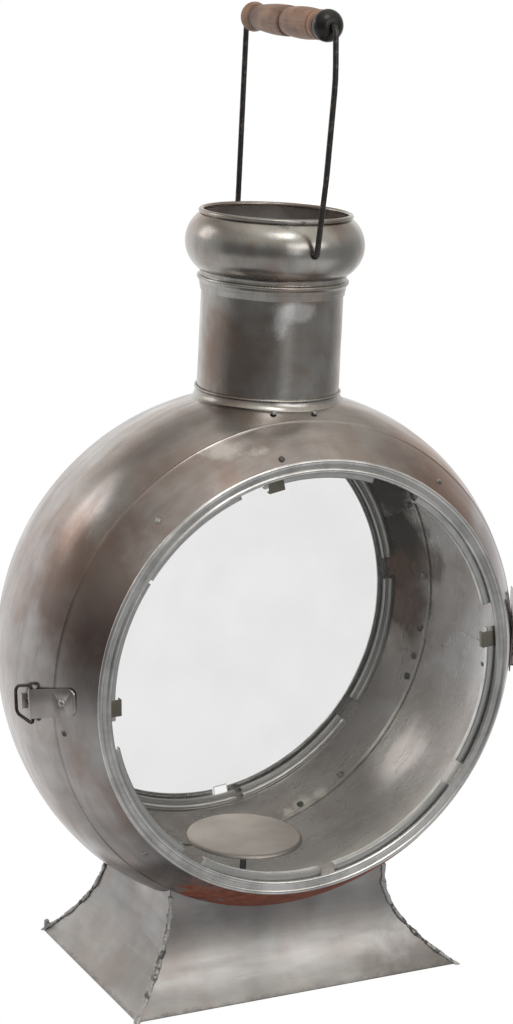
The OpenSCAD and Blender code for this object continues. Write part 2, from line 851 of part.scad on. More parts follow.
module stem_nut() {
    color(zinc) difference() {
        translate([0, 0, washer_z - 5]) cylinder(5, d = nut_w / cos(30), $fn = 6);
        translate([0, 0, washer_z - 6]) cylinder(7, r = stem_r, $fn = small_fn);
    }
}

// Hinge: two leaves, each rolled round the pin where its knuckles are
module leaf_outline(far) {
    face = leaf_face(far);
    polygon([far, face[1], face[0], pin_place - leaf_out(far) * knuckle_r]);
}

module knuckle_shape(r) {
    translate([hinge_x, hinge_y]) circle(r, $fn = small_fn);
}

module knuckle_span(i, extra = 0) {
    translate([0, 0, hinge_z0 + i * (knuckle_len + knuckle_gap) - extra])
        linear_extrude(knuckle_len + 2 * extra) children();
}

module hinge_leaf(far, own, other) {
    difference() {
        union() {
            difference() {
                translate([0, 0, hinge_z0]) linear_extrude(hinge_len) leaf_outline(far);
                for (i = other) knuckle_span(i, knuckle_gap) knuckle_shape(knuckle_r + 0.5);
            }
            for (i = own) knuckle_span(i) knuckle_shape(knuckle_r);
        }
        translate([0, 0, hinge_z0 - 1]) linear_extrude(hinge_len + 2)
            knuckle_shape(pin_r + pin_play);
    }
}

module hinge_leaf_band() {
    color(iron) difference() {
        hinge_leaf(band_leaf_end, [0, 2], [1]);
        band_solid();
        at_band_rivets() rivet_hole();
    }
}

module hinge_leaf_door() {
    color(iron) difference() {
        hinge_leaf(door_leaf_end, [1], [0, 2]);
        turned() door_section_outside();
        at_door_rivets() rivet_hole();
    }
}

module hinge_pin() {
    color(dark_iron) translate([hinge_x, hinge_y, hinge_z0]) {
        translate([0, 0, -1]) cylinder(hinge_len + 2, r = pin_r, $fn = small_fn);
        for (end = [0, 1]) translate([0, 0, end * hinge_len]) mirror([0, 0, 1 - end])
            cylinder(1.6, r = knuckle_r - 0.4, $fn = small_fn);
    }
}

module band_rivet_row() {
    at_band_rivets() rivet(2 * sheet + 0.6);
}

module hinge_rivets_band() {
    color(dark_iron) band_rivet_row();
}

module hinge_rivets_door() {
    color(dark_iron) at_door_rivets() rivet(2 * sheet + 0.8);
}

// Door: a dish with a rolled hem, its rim, pane, strips, clips and tack welds
module door_section_outside() {
    door_area();
    translate([door_seam_r - 0.3, door_edge_y - hem_r]) circle(hem_r, $fn = small_fn);
}

module door_dish() {
    color(iron) difference() {
        turned() {
            difference() {
                door_area();
                door_area(sheet);
            }
            translate([door_seam_r - 0.3, door_edge_y - hem_r]) circle(hem_r, $fn = small_fn);
        }
        at_door_rivets() rivet_hole();
        at_strap_rivet() rivet_hole();
    }
}

module door_rim() {
    color(zinc) turned() rim_area(front_rim_r, -1);
}

module door_glass() {
    color(glass_tint) turned() translate([0, front_pane_y])
        square([front_open_r + pane_hold, glass_t]);
}

// Section of a front strip: round the pane's edge, over its back and on to the rear
module front_strip_area() {
    outer = front_open_r + pane_hold + 0.3;
    back = front_pane_y + glass_t;
    translate([outer, front_pane_y]) square([sheet, glass_t + sheet]);
    translate([outer + sheet - strip_leg, back]) square([strip_leg, sheet]);
    translate([outer + sheet - strip_leg, back]) square([sheet, strip_depth]);
}

module door_glass_strips() {
    color(zinc) between_gaps(front_gaps) front_strip_area();
}

// Clips: the same hold at the edge, with a tongue over the pane that turns to the rear
module door_glass_clips() {
    outer = front_open_r + pane_hold + 0.3;
    back = front_pane_y + glass_t;
    tongue = front_open_r - clip_reach;
    color(brass) for (angle = clip_angles) at_angle(angle) {
        translate([outer, -clip_w / 2, front_pane_y]) cube([sheet, clip_w, glass_t + sheet]);
        translate([tongue, -clip_w / 2, back]) cube([outer + sheet - tongue, clip_w, sheet]);
        translate([tongue, -clip_w / 2, back]) cube([sheet, clip_w, strip_depth - 2]);
    }
}

// Tack welds on the door: [angle, share of the way from its seam to its rim]
door_tack_places = [[134, 0.668], [-135, 0.731], [54, 0.655], [-170.5, 0.246], [100.5, 0.872]];

module door_tacks() {
    color(dark_iron) for (place = door_tack_places) {
        y = door_edge_y - place[1] * (half_depth + door_edge_y);
        tilt = atan2(door_r(y + 0.5) - door_r(y - 0.5), 1);
        at_angle(place[0]) translate([door_r(y) + 0.03, 0, y]) rotate([0, tilt, 0])
            tack(2.6, 1.3);
    }
}

// Latch strap: flat on the door, over the seam and rolled round the loop's wire
function corner_arc(centre, r, from, to) =
    [for (i = [0 : 6]) centre + r * [cos(from + (to - from) * i / 6), sin(from + (to - from) * i / 6)]];

module strap_outline() {
    half = strap_w / 2;
    round = 6;
    tail_y = latch_y + knuckle_r;
    polygon(concat(
        [[-half - 1, tail_y], [half + 1, tail_y]],
        corner_arc([half + strap_slope - round, strap_y + round], round, 0, -90),
        corner_arc([-half + strap_slope + round, strap_y + round], round, -90, -180)
    ));
}

module latch_strap() {
    color(iron) difference() {
        at_angle(latch_angle) difference() {
            intersection() {
                translate([0, 30, 0]) rotate([90, 0, 0]) linear_extrude(60) {
                    polygon([strap_start, strap_face[0], strap_face[1],
                        strap_knuckle + strap_back_out * knuckle_r,
                        strap_knuckle + strap_back_out * (knuckle_r - sheet), strap_bend]);
                    translate(strap_knuckle) circle(knuckle_r, $fn = small_fn);
                }
                translate([door_seam_r - 60, 0, 0]) rotate([90, 0, 90]) linear_extrude(120)
                    strap_outline();
            }
            translate([strap_knuckle[0], 30, strap_knuckle[1]]) rotate([90, 0, 0])
                cylinder(60, r = loop_wire_r + pin_play, $fn = small_fn);
        }
        turned() door_section_outside();
        at_strap_rivet() rivet_hole();
    }
}

module latch_rivet() {
    color(dark_iron) at_strap_rivet() rivet(2 * sheet + 0.8);
}

// Wire loop, a D whose two ends meet inside the strap's knuckle, where it turns
loop_top = strap_w / 2 + 5.4;
loop_points = [
    [0, 1], [0, loop_top], [loop_len, loop_w / 2], [loop_len, -loop_w / 2], [0, -loop_top], [0, -1]
];
loop_bends = [3, 6, 8, 3];

module latch_loop() {
    color(dark_iron) at_angle(latch_angle) translate([latch_r, 0, latch_y])
        rotate([0, loop_rest, 0]) rotate([90, 0, 90]) rotate([0, 0, 90])
            mirror([1, 0, 0]) rotate([0, 0, 90]) mirror([1, 0, 0]) rotate([0, 0, 90])
                bent_wire(loop_points, loop_bends, loop_wire_r);
}

// Catch on the band: a riveted plate with a nose that the loop's bow drops behind
module latch_catch() {
    base = band_r(nose_y);
    color(zinc) difference() {
        at_angle(latch_angle) {
            translate([0, 7, 0]) rotate([90, 0, 0]) linear_extrude(14) difference() {
                union() {
                    band_area(-sheet, nose_y - 8.2, nose_y + 3);
                    polygon([[base - 1, nose_y], [base + nose_h, nose_y],
                        [base + nose_h, nose_y + 3], [base + nose_h - sheet, nose_y + 3],
                        [base + nose_h - sheet, nose_y + sheet], [base - 1, nose_y + sheet]]);
                }
                square([crest_r * 1.6, 400], center = true);
            }
        }
        band_solid();
        at_catch_rivet() rivet_hole();
    }
}

module catch_rivets() {
    color(dark_iron) at_catch_rivet() rivet(2 * sheet);
}

// Bail: one wire from pivot to pivot, drawn in [y, z]
front_foot_y = -bulb_r - wire_r - 2.1;
rear_foot_y = bulb_r + wire_r + 2.1;
bail_points = [
    [-bulb_r + 9, pivot_z],
    [front_foot_y, pivot_z],
    [(front_foot_y * 4 - bow_front * 6) / 10, pivot_z + bail_h * 0.35],
    [-bow_front, pivot_z + bail_h * 0.78],
    [-bow_front + 5, grip_z],
    [rear_foot_y - 2.6, grip_z],
    [rear_foot_y - 2.4, pivot_z + 31],
    [rear_foot_y, pivot_z],
    [bulb_r - 9, pivot_z]
];
bail_bends = [4.2, 200, 120, 13, 10, 40, 4.2];

module bail_wire() {
    color(dark_iron) rotate([90, 0, 90]) bent_wire(bail_points, bail_bends, wire_r);
}

// Grip: turned wood in two lobes with a rear flange, and a black bead in front
function lobe_r(t, low, high) = low + (high - low) * sin(180 * t);

module turned_on_grip() {
    translate([0, grip_rear, grip_z]) rotate([90, 0, 0]) difference() {
        rotate_extrude($fn = 64) children();
        translate([0, 0, -1]) cylinder(wood_len + bead_len + 2, r = wire_r + pin_play, $fn = small_fn);
    }
}

module grip_wood() {
    flange = 17;
    groove = 0.58;
    lobe = wood_len * groove - flange;
    rest = wood_len - flange - lobe;
    color(wood) turned_on_grip() polygon(concat(
        [[0, 0], [grip_r - 4, 0], [grip_r - 2, 1.2], [grip_r - 1, 4], [grip_r - 1.2, flange - 5],
            [grip_r - 2.6, flange - 1.5]],
        [for (i = [0 : 8]) [lobe_r(i / 8 * 0.86, grip_r - 2.8, grip_r), flange + lobe * i / 8]],
        [[grip_r - 2.2, flange + lobe + 1]],
        [for (i = [1 : 8]) [lobe_r(0.1 + i / 8 * 0.85, grip_r - 1.4, grip_r + 0.3),
            flange + lobe + 1 + (rest - 1) * i / 8]],
        [[0, wood_len]]
    ));
}

module grip_bead() {
    steps = 10;
    color(black) turned_on_grip() translate([0, wood_len]) polygon(concat(
        [[0, 0]],
        [for (i = [0 : steps]) [grip_r - 3.4 + 3.8 * pow(sin(20 + 145 * i / steps), 0.8),
            bead_len * i / steps]],
        [[0, bead_len]]
    ));
}

ring_band();
band_lap_strip();
rear_dish();
rear_rim();
rear_glass();
rear_glass_strips();
rear_seam_tacks();
neck_tube();
neck_collar();
collar_tacks();
neck_bead();
bulb();
bulb_lip();
foot_front();
foot_rear();
foot_left();
foot_right();
foot_corner_welds();
candle_plate();
candle_stem();
stem_collar();
stem_washer();
stem_nut();
hinge_leaf_band();
hinge_pin();
hinge_rivets_band();
latch_catch();
catch_rivets();
door_dish();
door_rim();
door_glass();
door_glass_strips();
door_glass_clips();
door_tacks();
hinge_leaf_door();
hinge_rivets_door();
latch_strap();
latch_rivet();
latch_loop();
bail_wire();
grip_wood();
grip_bead();
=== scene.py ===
"""Looks of a round sheet-iron lantern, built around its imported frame.

A hollow ring lies on its side between two panes. The front pane is in a dished door,
a neck with an open bulb stands on top, a flared foot carries it, and a wire bail with
a turned wooden grip swings in the bulb. All is in metres, in the frame's own axes.
"""

import math

import bpy
from bpy.props import FloatProperty, FloatVectorProperty, PointerProperty
from bpy.types import Operator, Panel, PropertyGroup
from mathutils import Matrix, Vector


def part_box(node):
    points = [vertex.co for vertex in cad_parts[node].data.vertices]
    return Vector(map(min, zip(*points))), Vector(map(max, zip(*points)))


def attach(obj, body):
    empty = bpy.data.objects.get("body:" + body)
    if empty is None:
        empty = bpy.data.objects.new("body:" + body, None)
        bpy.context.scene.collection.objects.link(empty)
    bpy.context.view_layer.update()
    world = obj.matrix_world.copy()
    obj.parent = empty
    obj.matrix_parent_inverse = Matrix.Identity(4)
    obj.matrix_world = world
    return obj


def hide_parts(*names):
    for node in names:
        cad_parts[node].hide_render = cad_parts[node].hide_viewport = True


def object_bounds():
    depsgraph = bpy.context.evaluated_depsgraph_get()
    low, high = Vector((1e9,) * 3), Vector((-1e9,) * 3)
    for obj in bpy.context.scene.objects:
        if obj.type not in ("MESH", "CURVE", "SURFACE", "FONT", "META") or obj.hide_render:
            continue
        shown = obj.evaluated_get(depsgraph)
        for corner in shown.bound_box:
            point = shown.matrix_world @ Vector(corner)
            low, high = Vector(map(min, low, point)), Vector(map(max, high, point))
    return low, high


bl_info = {
    "name": "Sheet-iron ring lantern",
    "version": (1, 0, 0),
    "blender": (4, 5, 0),
    "location": "View3D > Sidebar > Lantern",
    "description": "Builds the looks of a round glazed lantern around its packed frame",
    "category": "Object",
}

MM = 0.001
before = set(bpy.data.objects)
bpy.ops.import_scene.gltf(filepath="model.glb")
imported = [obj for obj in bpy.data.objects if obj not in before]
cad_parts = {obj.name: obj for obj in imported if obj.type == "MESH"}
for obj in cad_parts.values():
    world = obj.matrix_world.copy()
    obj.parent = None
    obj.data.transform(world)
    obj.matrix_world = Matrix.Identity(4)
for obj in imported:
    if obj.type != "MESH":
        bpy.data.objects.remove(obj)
cad_low, cad_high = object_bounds()
bpy.ops.object.select_all(action='DESELECT')

# Places that the frame already holds
NECK_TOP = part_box("neck_bead")[1].z
BULB_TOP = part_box("bulb")[1].z
BAIL_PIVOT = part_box("bulb")[0].z + 24 * MM
GRIP_AXIS = (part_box("grip_wood")[0].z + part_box("grip_wood")[1].z) / 2
GRIP_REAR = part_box("grip_wood")[1].y


def linear(code):
    """Turns an sRGB hex colour to the linear RGB that shaders take."""
    parts = [int(code[i:i + 2], 16) / 255 for i in (1, 3, 5)]
    return tuple(c / 12.92 if c <= 0.04045 else ((c + 0.055) / 1.055) ** 2.4 for c in parts)


def length(name, value, description):
    return FloatProperty(name=name, description=description, default=value * MM,
                         unit='LENGTH', precision=5)


def colour(name, code, description):
    return FloatVectorProperty(name=name, description=description, default=linear(code),
                               subtype='COLOR', size=3, min=0, max=1)


class LanternSizes(PropertyGroup):
    sheet: length("Sheet", 1.2, "Thickness of the iron sheet")
    ring_height: length("Ring height", 304, "Height of the ring's axis above the floor")
    crest_r: length("Crest radius", 242, "Radius of the ring where it is widest")
    crest_y: length("Crest place", -20, "Place of the widest line along the ring's axis")
    half_depth: length("Half depth", 118.5, "From the ring's middle to the edge of each dish")
    door_seam_r: length("Door seam radius", 227, "Radius of the seam between door and band")
    door_seam_y: length("Door seam place", 79, "Distance of the door's seam in front of the middle")
    door_gap: length("Door gap", 0.4, "Gap between the shut door and the band")
    rear_seam_r: length("Rear seam radius", 225, "Radius of the seam behind the band")
    rear_seam_y: length("Rear seam place", 75, "Distance of the rear seam behind the middle")
    front_rim_r: length("Front rim radius", 200, "Radius of the edge that the front rim covers")
    rear_rim_r: length("Rear rim radius", 202, "Radius of the edge that the rear rim covers")
    rim_w: length("Rim width", 12, "Width of each rim's face")
    dish_bulge: length("Dish bulge", 1.6, "Height of each dish's bulge over a straight cone")
    hem_r: length("Hem radius", 0.9, "Radius of the rolled hem on the door's edge")
    neck_r: length("Neck radius", 63.9, "Outer radius of the neck")
    collar_out: length("Collar flare", 5, "How far the collar at the neck's foot flares out")
    bulb_r: length("Bulb radius", 80, "Radius of the bulb where it is widest")
    mouth_r: length("Mouth radius", 67.2, "Radius of the bulb's mouth")
    foot_w: length("Foot width", 337, "Width of the foot on the floor")
    foot_d: length("Foot depth", 216, "Depth of the foot on the floor")
    flare_h: length("Flare height", 85, "Height over which the foot flares out")
    grip_r: length("Grip radius", 13.5, "Largest radius of the wooden grip")


class LanternColours(PropertyGroup):
    iron_light: colour("Light iron", "#bdbab8", "Rubbed parts of the rolled sheet")
    iron_dark: colour("Dark iron", "#8a8280", "Heat-stained parts of the rolled sheet")
    # Painted light: the inside colours are lighter copies of the sheet's own, standing in for the
    # bright reflections the inside of the ring catches.
    lightened_inside_light: colour("Light inside", "#e2dfdd", "Rubbed parts of the sheet inside the ring")
    lightened_inside_dark: colour("Dark inside", "#c0bbb8", "Dull parts of the sheet inside the ring")
    iron_warm: colour("Warm iron", "#93796b", "Straw and brown heat tints on the sheet")
    foot_light: colour("Ground iron", "#bdbdbc", "Ground parts of the foot's sheet")
    foot_dark: colour("Dull iron", "#918f8e", "Dull parts of the foot's sheet")
    zinc: colour("Zinc", "#dedddb", "Galvanised rims")
    zinc_dull: colour("Dull zinc", "#b3b2b0", "Weathered zinc")
    strip: colour("Strip", "#e6e6e3", "Bare zinc strips that hold the panes")
    plate: colour("Plate", "#e8e1da", "Matt galvanised candle plate")
    rust: colour("Rust", "#a0583f", "Rust film under the door")
    black_iron: colour("Black iron", "#45423f", "Blackened wire, pins and rivets")
    weld: colour("Weld", "#4a4541", "Weld metal")
    clip: colour("Clip brass", "#8f8a74", "Tarnished brass clips")
    wood_light: colour("Light wood", "#a9836a", "Light grain of the turned grip")
    wood_dark: colour("Dark wood", "#7d5c4a", "Dark grain of the turned grip")
    bead: colour("Black bead", "#14110f", "Lacquered bead in front of the grip")
    floor: colour("Floor", "#f4f4f2", "Plain pale floor")


def sizes():
    return bpy.context.scene.lantern_sizes


def tones():
    return bpy.context.scene.lantern_colours


# ---- Sections of the ring, as (radius, place along the axis) ----

def spaced(start, end, count):
    return [start + (end - start) * i / count for i in range(count + 1)]


def arc_radius(run, drop):
    """Radius of the arc that falls by drop over a run, from where it is level."""
    return (run * run + drop * drop) / (2 * drop)


def band_radius(y, inset=0.0):
    """Radius of the band at a place along its axis: two arcs that meet level at the crest."""
    s = sizes()
    if y < s.crest_y:
        arc = arc_radius(s.door_seam_y + s.crest_y, s.crest_r - s.door_seam_r)
    else:
        arc = arc_radius(s.rear_seam_y - s.crest_y, s.crest_r - s.rear_seam_r)
    return s.crest_r - arc + math.sqrt((arc - inset) ** 2 - (y - s.crest_y) ** 2)


def dish_arc(seam, rim):
    """Centre and radius of the arc from a seam to a rim, as seen in the section."""
    run = (rim[0] - seam[0], rim[1] - seam[1])
    chord = math.hypot(*run)
    bulge = sizes().dish_bulge
    arc = (chord * chord / 4 + bulge * bulge) / (2 * bulge)
    side = math.copysign(1, run[1])
    inward = (-abs(run[1]) / chord, side * run[0] / chord)
    middle = ((seam[0] + rim[0]) / 2, (seam[1] + rim[1]) / 2)
    centre = tuple(m + (arc - bulge) * d for m, d in zip(middle, inward))
    return centre, arc


def dish_radius(centre, arc, y):
    return centre[0] + math.sqrt(arc * arc - (y - centre[1]) ** 2)


def round_bead(centre, radius, start, end, count=14):
    """Points of an arc between two angles in degrees, from the outside of the ring."""
    angles = [math.radians(a) for a in spaced(start, end, count)]
    return [(centre[0] + radius * math.cos(a), centre[1] + radius * math.sin(a)) for a in angles]


def saddle(x, y):
    """Height of the top of the ring's outside over a point of the floor."""
    return sizes().ring_height + math.sqrt(band_radius(y) ** 2 - x * x)


# ---- Modelling steps that several pieces share ----

def start_edit(select='SELECT'):
    bpy.ops.object.mode_set(mode='EDIT')
    bpy.ops.mesh.select_all(action=select)


def end_edit():
    bpy.ops.object.mode_set(mode='OBJECT')


def only(piece):
    bpy.ops.object.select_all(action='DESELECT')
    piece.select_set(True)
    bpy.context.view_layer.objects.active = piece
    return piece


def turned(outline, axis='Z', centre=(0.0, 0.0, 0.0), steps=192, start=0.0, sweep=360.0):
    """Turns a closed section about an axis: one vertex is drawn out along it, then spun.

    About the ring's axis the angles count from the right upwards, in degrees.
    """
    along = Vector((0, 1, 0)) if axis == 'Y' else Vector((0, 0, 1))
    first = math.radians(start)
    out = Vector((math.cos(first), 0, math.sin(first)))
    middle = Vector(centre)
    points = [middle + out * r + along * a for r, a in outline]
    points.append(points[0])
    bpy.ops.object.select_all(action='DESELECT')
    bpy.ops.mesh.primitive_plane_add(size=0.01)
    start_edit()
    bpy.ops.mesh.merge(type='CENTER')
    bpy.ops.transform.translate(value=points[0])
    for last, point in zip(points, points[1:]):
        bpy.ops.mesh.extrude_vertices_move(TRANSFORM_OT_translate={"value": point - last})
    bpy.ops.mesh.select_all(action='SELECT')
    bpy.ops.mesh.remove_doubles(threshold=1e-6)
    if sweep < 360:
        bpy.ops.mesh.edge_face_add()
    bpy.ops.mesh.spin(steps=steps, angle=math.radians(sweep), center=middle, axis=-along,
                      use_auto_merge=sweep == 360)
    clean_mesh()
    return bpy.context.object


def sheet_outline(path, thick):
    """Outline of a sheet bent along a path: half its thickness to each side."""
    sides = []
    for sign in (1, -1):
        side = []
        for i, here in enumerate(path):
            before = Vector(here) - Vector(path[i - 1]) if i else None
            after = Vector(path[i + 1]) - Vector(here) if i + 1 < len(path) else before
            before = (before or after).normalized()
            after = after.normalized()
            across = Vector((-before.y - after.y, before.x + after.x)).normalized()
            reach = thick / 2 / max(0.5, across.dot(Vector((-before.y, before.x))))
            side.append(Vector(here) + across * reach * sign)
        sides.append(side)
    return sides[0] + list(reversed(sides[1]))


def joined(pieces):
    bpy.ops.object.select_all(action='DESELECT')
    for piece in pieces:
        piece.select_set(True)
    bpy.context.view_layer.objects.active = pieces[0]
    bpy.ops.object.join()
    return pieces[0]


def clean_mesh():
    """Merges doubles and turns the faces outwards, then leaves edit mode."""
    bpy.ops.mesh.select_all(action='SELECT')
    bpy.ops.mesh.remove_doubles(threshold=2e-6)
    bpy.ops.mesh.normals_make_consistent(inside=False)
    end_edit()


def apply_modifier(piece, kind, **settings):
    only(piece)
    added = piece.modifiers.new(kind.title(), kind)
    for name, value in settings.items():
        setattr(added, name, value)
    bpy.ops.object.modifier_apply(modifier=added.name)


def cut(piece, cutter):
    """Takes the cutter's shape out of a piece."""
    apply_modifier(piece, 'BOOLEAN', operation='DIFFERENCE', solver='EXACT', object=cutter)
    bpy.data.objects.remove(cutter)


def cylinder(radius, depth, location, rotation=(0.0, 0.0, 0.0), sides=96):
    bpy.ops.object.select_all(action='DESELECT')
    bpy.ops.mesh.primitive_cylinder_add(vertices=sides, radius=radius, depth=depth,
                                        location=location, rotation=rotation)
    return bpy.context.object


def dents(piece, height, spread):
    """Unevenness of sheet worked by hand: both sides of the sheet move together."""
    cloud = bpy.data.textures.new("sheet_dents", 'CLOUDS')
    cloud.cloud_type = 'COLOR'
    cloud.noise_scale = spread
    cloud.noise_depth = 1
    apply_modifier(piece, 'DISPLACE', texture=cloud, texture_coords='LOCAL',
                   direction='RGB_TO_XYZ', strength=height, mid_level=0.5)


def lumps(piece, height, spread, middle=0.5):
    """Rough swelling along the normals, for weld metal."""
    cloud = bpy.data.textures.new("weld_lumps", 'CLOUDS')
    cloud.noise_scale = spread
    apply_modifier(piece, 'DISPLACE', texture=cloud, texture_coords='LOCAL',
                   strength=height, mid_level=middle)


def settle(piece, name, body, slot, material, *nodes, smooth=40):
    """Names a finished piece, holds it inside the frame's box, gives it its material,
    and ties it to its body and nodes."""
    for vertex in piece.data.vertices:
        vertex.co = [min(max(c, low), high) for c, low, high in zip(vertex.co, cad_low, cad_high)]
    only(piece)
    bpy.ops.object.shade_smooth_by_angle(angle=math.radians(smooth))
    piece.select_set(False)
    piece.name = name
    piece.data.name = name
    piece.data.materials.clear()
    piece.data.materials.append(material)
    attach(piece, body)
    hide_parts(*nodes)
    return piece


def line_inside(piece, material, axis='Y'):
    """Gives the faces that look at an axis, the ring's or the neck's, their own material."""
    piece.data.materials.append(material)
    for face in piece.data.polygons:
        out = face.center - Vector((0, 0, sizes().ring_height))
        if axis == 'Y':
            out.y = 0
        else:
            out.z = 0
        if face.normal.dot(out) < 0:
            face.material_index = 1


def copy_of(node):
    """A copy of a frame node's mesh, merged, with its flat faces joined up again."""
    piece = bpy.data.objects.new(node + ".copy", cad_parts[node].data.copy())
    bpy.context.scene.collection.objects.link(piece)
    only(piece)
    start_edit()
    bpy.ops.mesh.remove_doubles(threshold=2e-6)
    bpy.ops.mesh.dissolve_limited(angle_limit=math.radians(0.6))
    end_edit()
    return piece


def eased(piece, width):
    """Breaks the sharp edges of small hardware."""
    apply_modifier(piece, 'BEVEL', width=width, segments=2, limit_method='ANGLE',
                   angle_limit=math.radians(38), use_clamp_overlap=True)
    return piece


# ---- Materials ----

def per_mm(size):
    """Scale of a pattern whose features are this many millimetres apart."""
    return 1000.0 / size


def add(tree, kind, inputs=(), **settings):
    """Adds a node; inputs give each socket a value or the output that feeds it."""
    made = tree.nodes.new(kind)
    for name, value in settings.items():
        setattr(made, name, value)
    for socket, value in dict(inputs).items():
        if isinstance(value, bpy.types.NodeSocket):
            tree.links.new(value, made.inputs[socket])
        else:
            made.inputs[socket].default_value = value
    return made


def new_material(name):
    found = bpy.data.materials.get(name)
    if found:
        return found, None
    made = bpy.data.materials.new(name)
    made.use_nodes = True
    made.node_tree.nodes.clear()
    return made, made.node_tree


def rgba(value):
    return (*value, 1.0)


def surface(tree, shader):
    add(tree, 'ShaderNodeOutputMaterial', {'Surface': shader.outputs[0]})


def noise(tree, place, size, detail=4.0, rough=0.6, **inputs):
    """A cloudy pattern whose features are about size millimetres apart."""
    return add(tree, 'ShaderNodeTexNoise', {
        'Vector': place, 'Scale': per_mm(size), 'Detail': detail, 'Roughness': rough,
        **inputs}).outputs[0]


def band(tree, value, low, high, to_low=0.0, to_high=1.0):
    """Stretches the part of a pattern between two levels to a new range, clamped."""
    return add(tree, 'ShaderNodeMapRange', {
        'Value': value, 'From Min': low, 'From Max': high, 'To Min': to_low,
        'To Max': to_high}).outputs[0]


def blend(tree, share, under, over):
    under, over = (c if isinstance(c, bpy.types.NodeSocket) else rgba(c) for c in (under, over))
    return add(tree, 'ShaderNodeMix', {0: share, 6: under, 7: over},
               data_type='RGBA').outputs[2]


def maths(tree, operation, first, second, third=0.0):
    return add(tree, 'ShaderNodeMath', {0: first, 1: second, 2: third},
               operation=operation).outputs[0]


def dull(value, factors):
    return tuple(c * f for c, f in zip(value, factors))


def round_ring(tree, place):
    """Coordinates that run round the ring, along its axis and outwards, in metres."""
    parts = add(tree, 'ShaderNodeSeparateXYZ', {0: place}).outputs
    rise = maths(tree, 'SUBTRACT', parts['Z'], sizes().ring_height)
    turn = maths(tree, 'ARCTAN2', parts['X'], rise)
    run = maths(tree, 'MULTIPLY', turn, 0.24)
    square = maths(tree, 'MULTIPLY', parts['X'], parts['X'])
    square = maths(tree, 'MULTIPLY_ADD', rise, rise, square)
    out = maths(tree, 'SQRT', square, 0.5)
    return add(tree, 'ShaderNodeCombineXYZ', {0: run, 1: parts['Y'], 2: out}).outputs[0]


def patch(tree, place, centre, radius, stretch=(1.0, 1.0, 1.0), ragged=1.5):
    """A ragged patch round a place: 1 inside it, 0 outside; all lengths in mm."""
    offset = add(tree, 'ShaderNodeVectorMath', {0: place, 1: Vector(centre) * MM},
                 operation='SUBTRACT').outputs[0]
    offset = add(tree, 'ShaderNodeVectorMath', {0: offset, 1: stretch},
                 operation='MULTIPLY').outputs[0]
    far = add(tree, 'ShaderNodeVectorMath', {0: offset}, operation='LENGTH').outputs['Value']
    edge = maths(tree, 'SUBTRACT', noise(tree, place, radius * 0.8, 5.0, 0.65), 0.5)
    far = maths(tree, 'MULTIPLY_ADD', edge, ragged * radius * MM, far)
    return band(tree, far, radius * MM, 0.5 * radius * MM)


def rolled_iron(name, light, dark, warmth, around=False, streak=(1.0, 1.0, 1.0), rust=False,
                marks=(), gloss=0.19):
    """Hot-rolled mild steel, raw: satin gloss, cloudy straw heat tints, streaks of scale."""
    made, tree = new_material(name)
    if tree is None:
        return made
    t = tones()
    place = add(tree, 'ShaderNodeTexCoord').outputs['Object']
    parts = add(tree, 'ShaderNodeSeparateXYZ', {0: place}).outputs
    along = round_ring(tree, place) if around else place
    drawn = add(tree, 'ShaderNodeMapping', {'Vector': along, 'Scale': streak}).outputs[0]

    base = blend(tree, band(tree, noise(tree, place, 105, 3.0), 0.3, 0.7), dark, light)
    tint = noise(tree, place, 62, 4.0, Distortion=0.5)
    side = band(tree, parts['X'], 0.06, -0.2, 0.0, 0.05)
    tint = band(tree, maths(tree, 'ADD', tint, side), 0.46, 0.68, 0.0, warmth)
    base = blend(tree, tint, base, t.iron_warm)
    stains = noise(tree, drawn, 17, 6.0, 0.62, Distortion=0.3)
    base = blend(tree, band(tree, stains, 0.5, 0.72, 0.0, 0.38), base,
                 dull(dark, (0.72, 0.68, 0.66)))
    base = blend(tree, band(tree, stains, 0.42, 0.3, 0.0, 0.3), base, light)
    specks = noise(tree, place, 4.5, 4.0, 0.7)
    base = blend(tree, band(tree, specks, 0.67, 0.76, 0.0, 0.65), base, t.weld)
    rub = add(tree, 'ShaderNodeMapping', {
        'Vector': along, 'Rotation': (0.3, 0.5, 0.4), 'Scale': (0.05, 1.0, 1.0)}).outputs[0]
    scratch = noise(tree, rub, 1.4, 2.0, 0.5)
    base = blend(tree, band(tree, scratch, 0.69, 0.76, 0.0, 0.3), base, light)
    rough = band(tree, stains, 0.3, 0.7, gloss, gloss + 0.14)
    for centre, radius, stretch, tone, share in marks:
        spot = maths(tree, 'MULTIPLY', patch(tree, place, centre, radius, stretch), share)
        base = blend(tree, spot, base, tone)
    metallic = 1.0
    if rust:
        # The film of rust reddens the door's underside, between the foot's corners
        low = band(tree, parts['Z'], 0.158, 0.128)
        edge = band(tree, parts['X'], -0.145, -0.1)
        patchy = maths(tree, 'ADD', noise(tree, place, 20, 6.0, 0.7),
                       band(tree, parts['X'], -0.09, -0.02, 0.05, 0.2))
        film = maths(tree, 'MULTIPLY', maths(tree, 'MULTIPLY', low, edge), patchy)
        film = band(tree, film, 0.42, 0.54)
        tone = blend(tree, band(tree, noise(tree, place, 9, 5.0, 0.7), 0.4, 0.62), t.rust,
                     dull(t.rust, (0.55, 0.6, 0.65)))
        base = blend(tree, film, base, tone)
        metallic = band(tree, film, 0.0, 1.0, 1.0, 0.1)
        rough = maths(tree, 'MULTIPLY_ADD', film, 0.35, rough)
    scale = noise(tree, drawn, 1.7, 3.0)
    grit = add(tree, 'ShaderNodeBump', {
        'Strength': 0.3, 'Distance': 0.00006, 'Height': scale}).outputs[0]
    relief = add(tree, 'ShaderNodeBump', {
        'Strength': 0.07, 'Distance': 0.0003, 'Height': stains, 'Normal': grit}).outputs[0]
    surface(tree, add(tree, 'ShaderNodeBsdfPrincipled', {
        'Base Color': base, 'Metallic': metallic, 'Roughness': rough, 'Normal': relief}))
    return made


ROUND = (0.22, 1.0, 1.0)


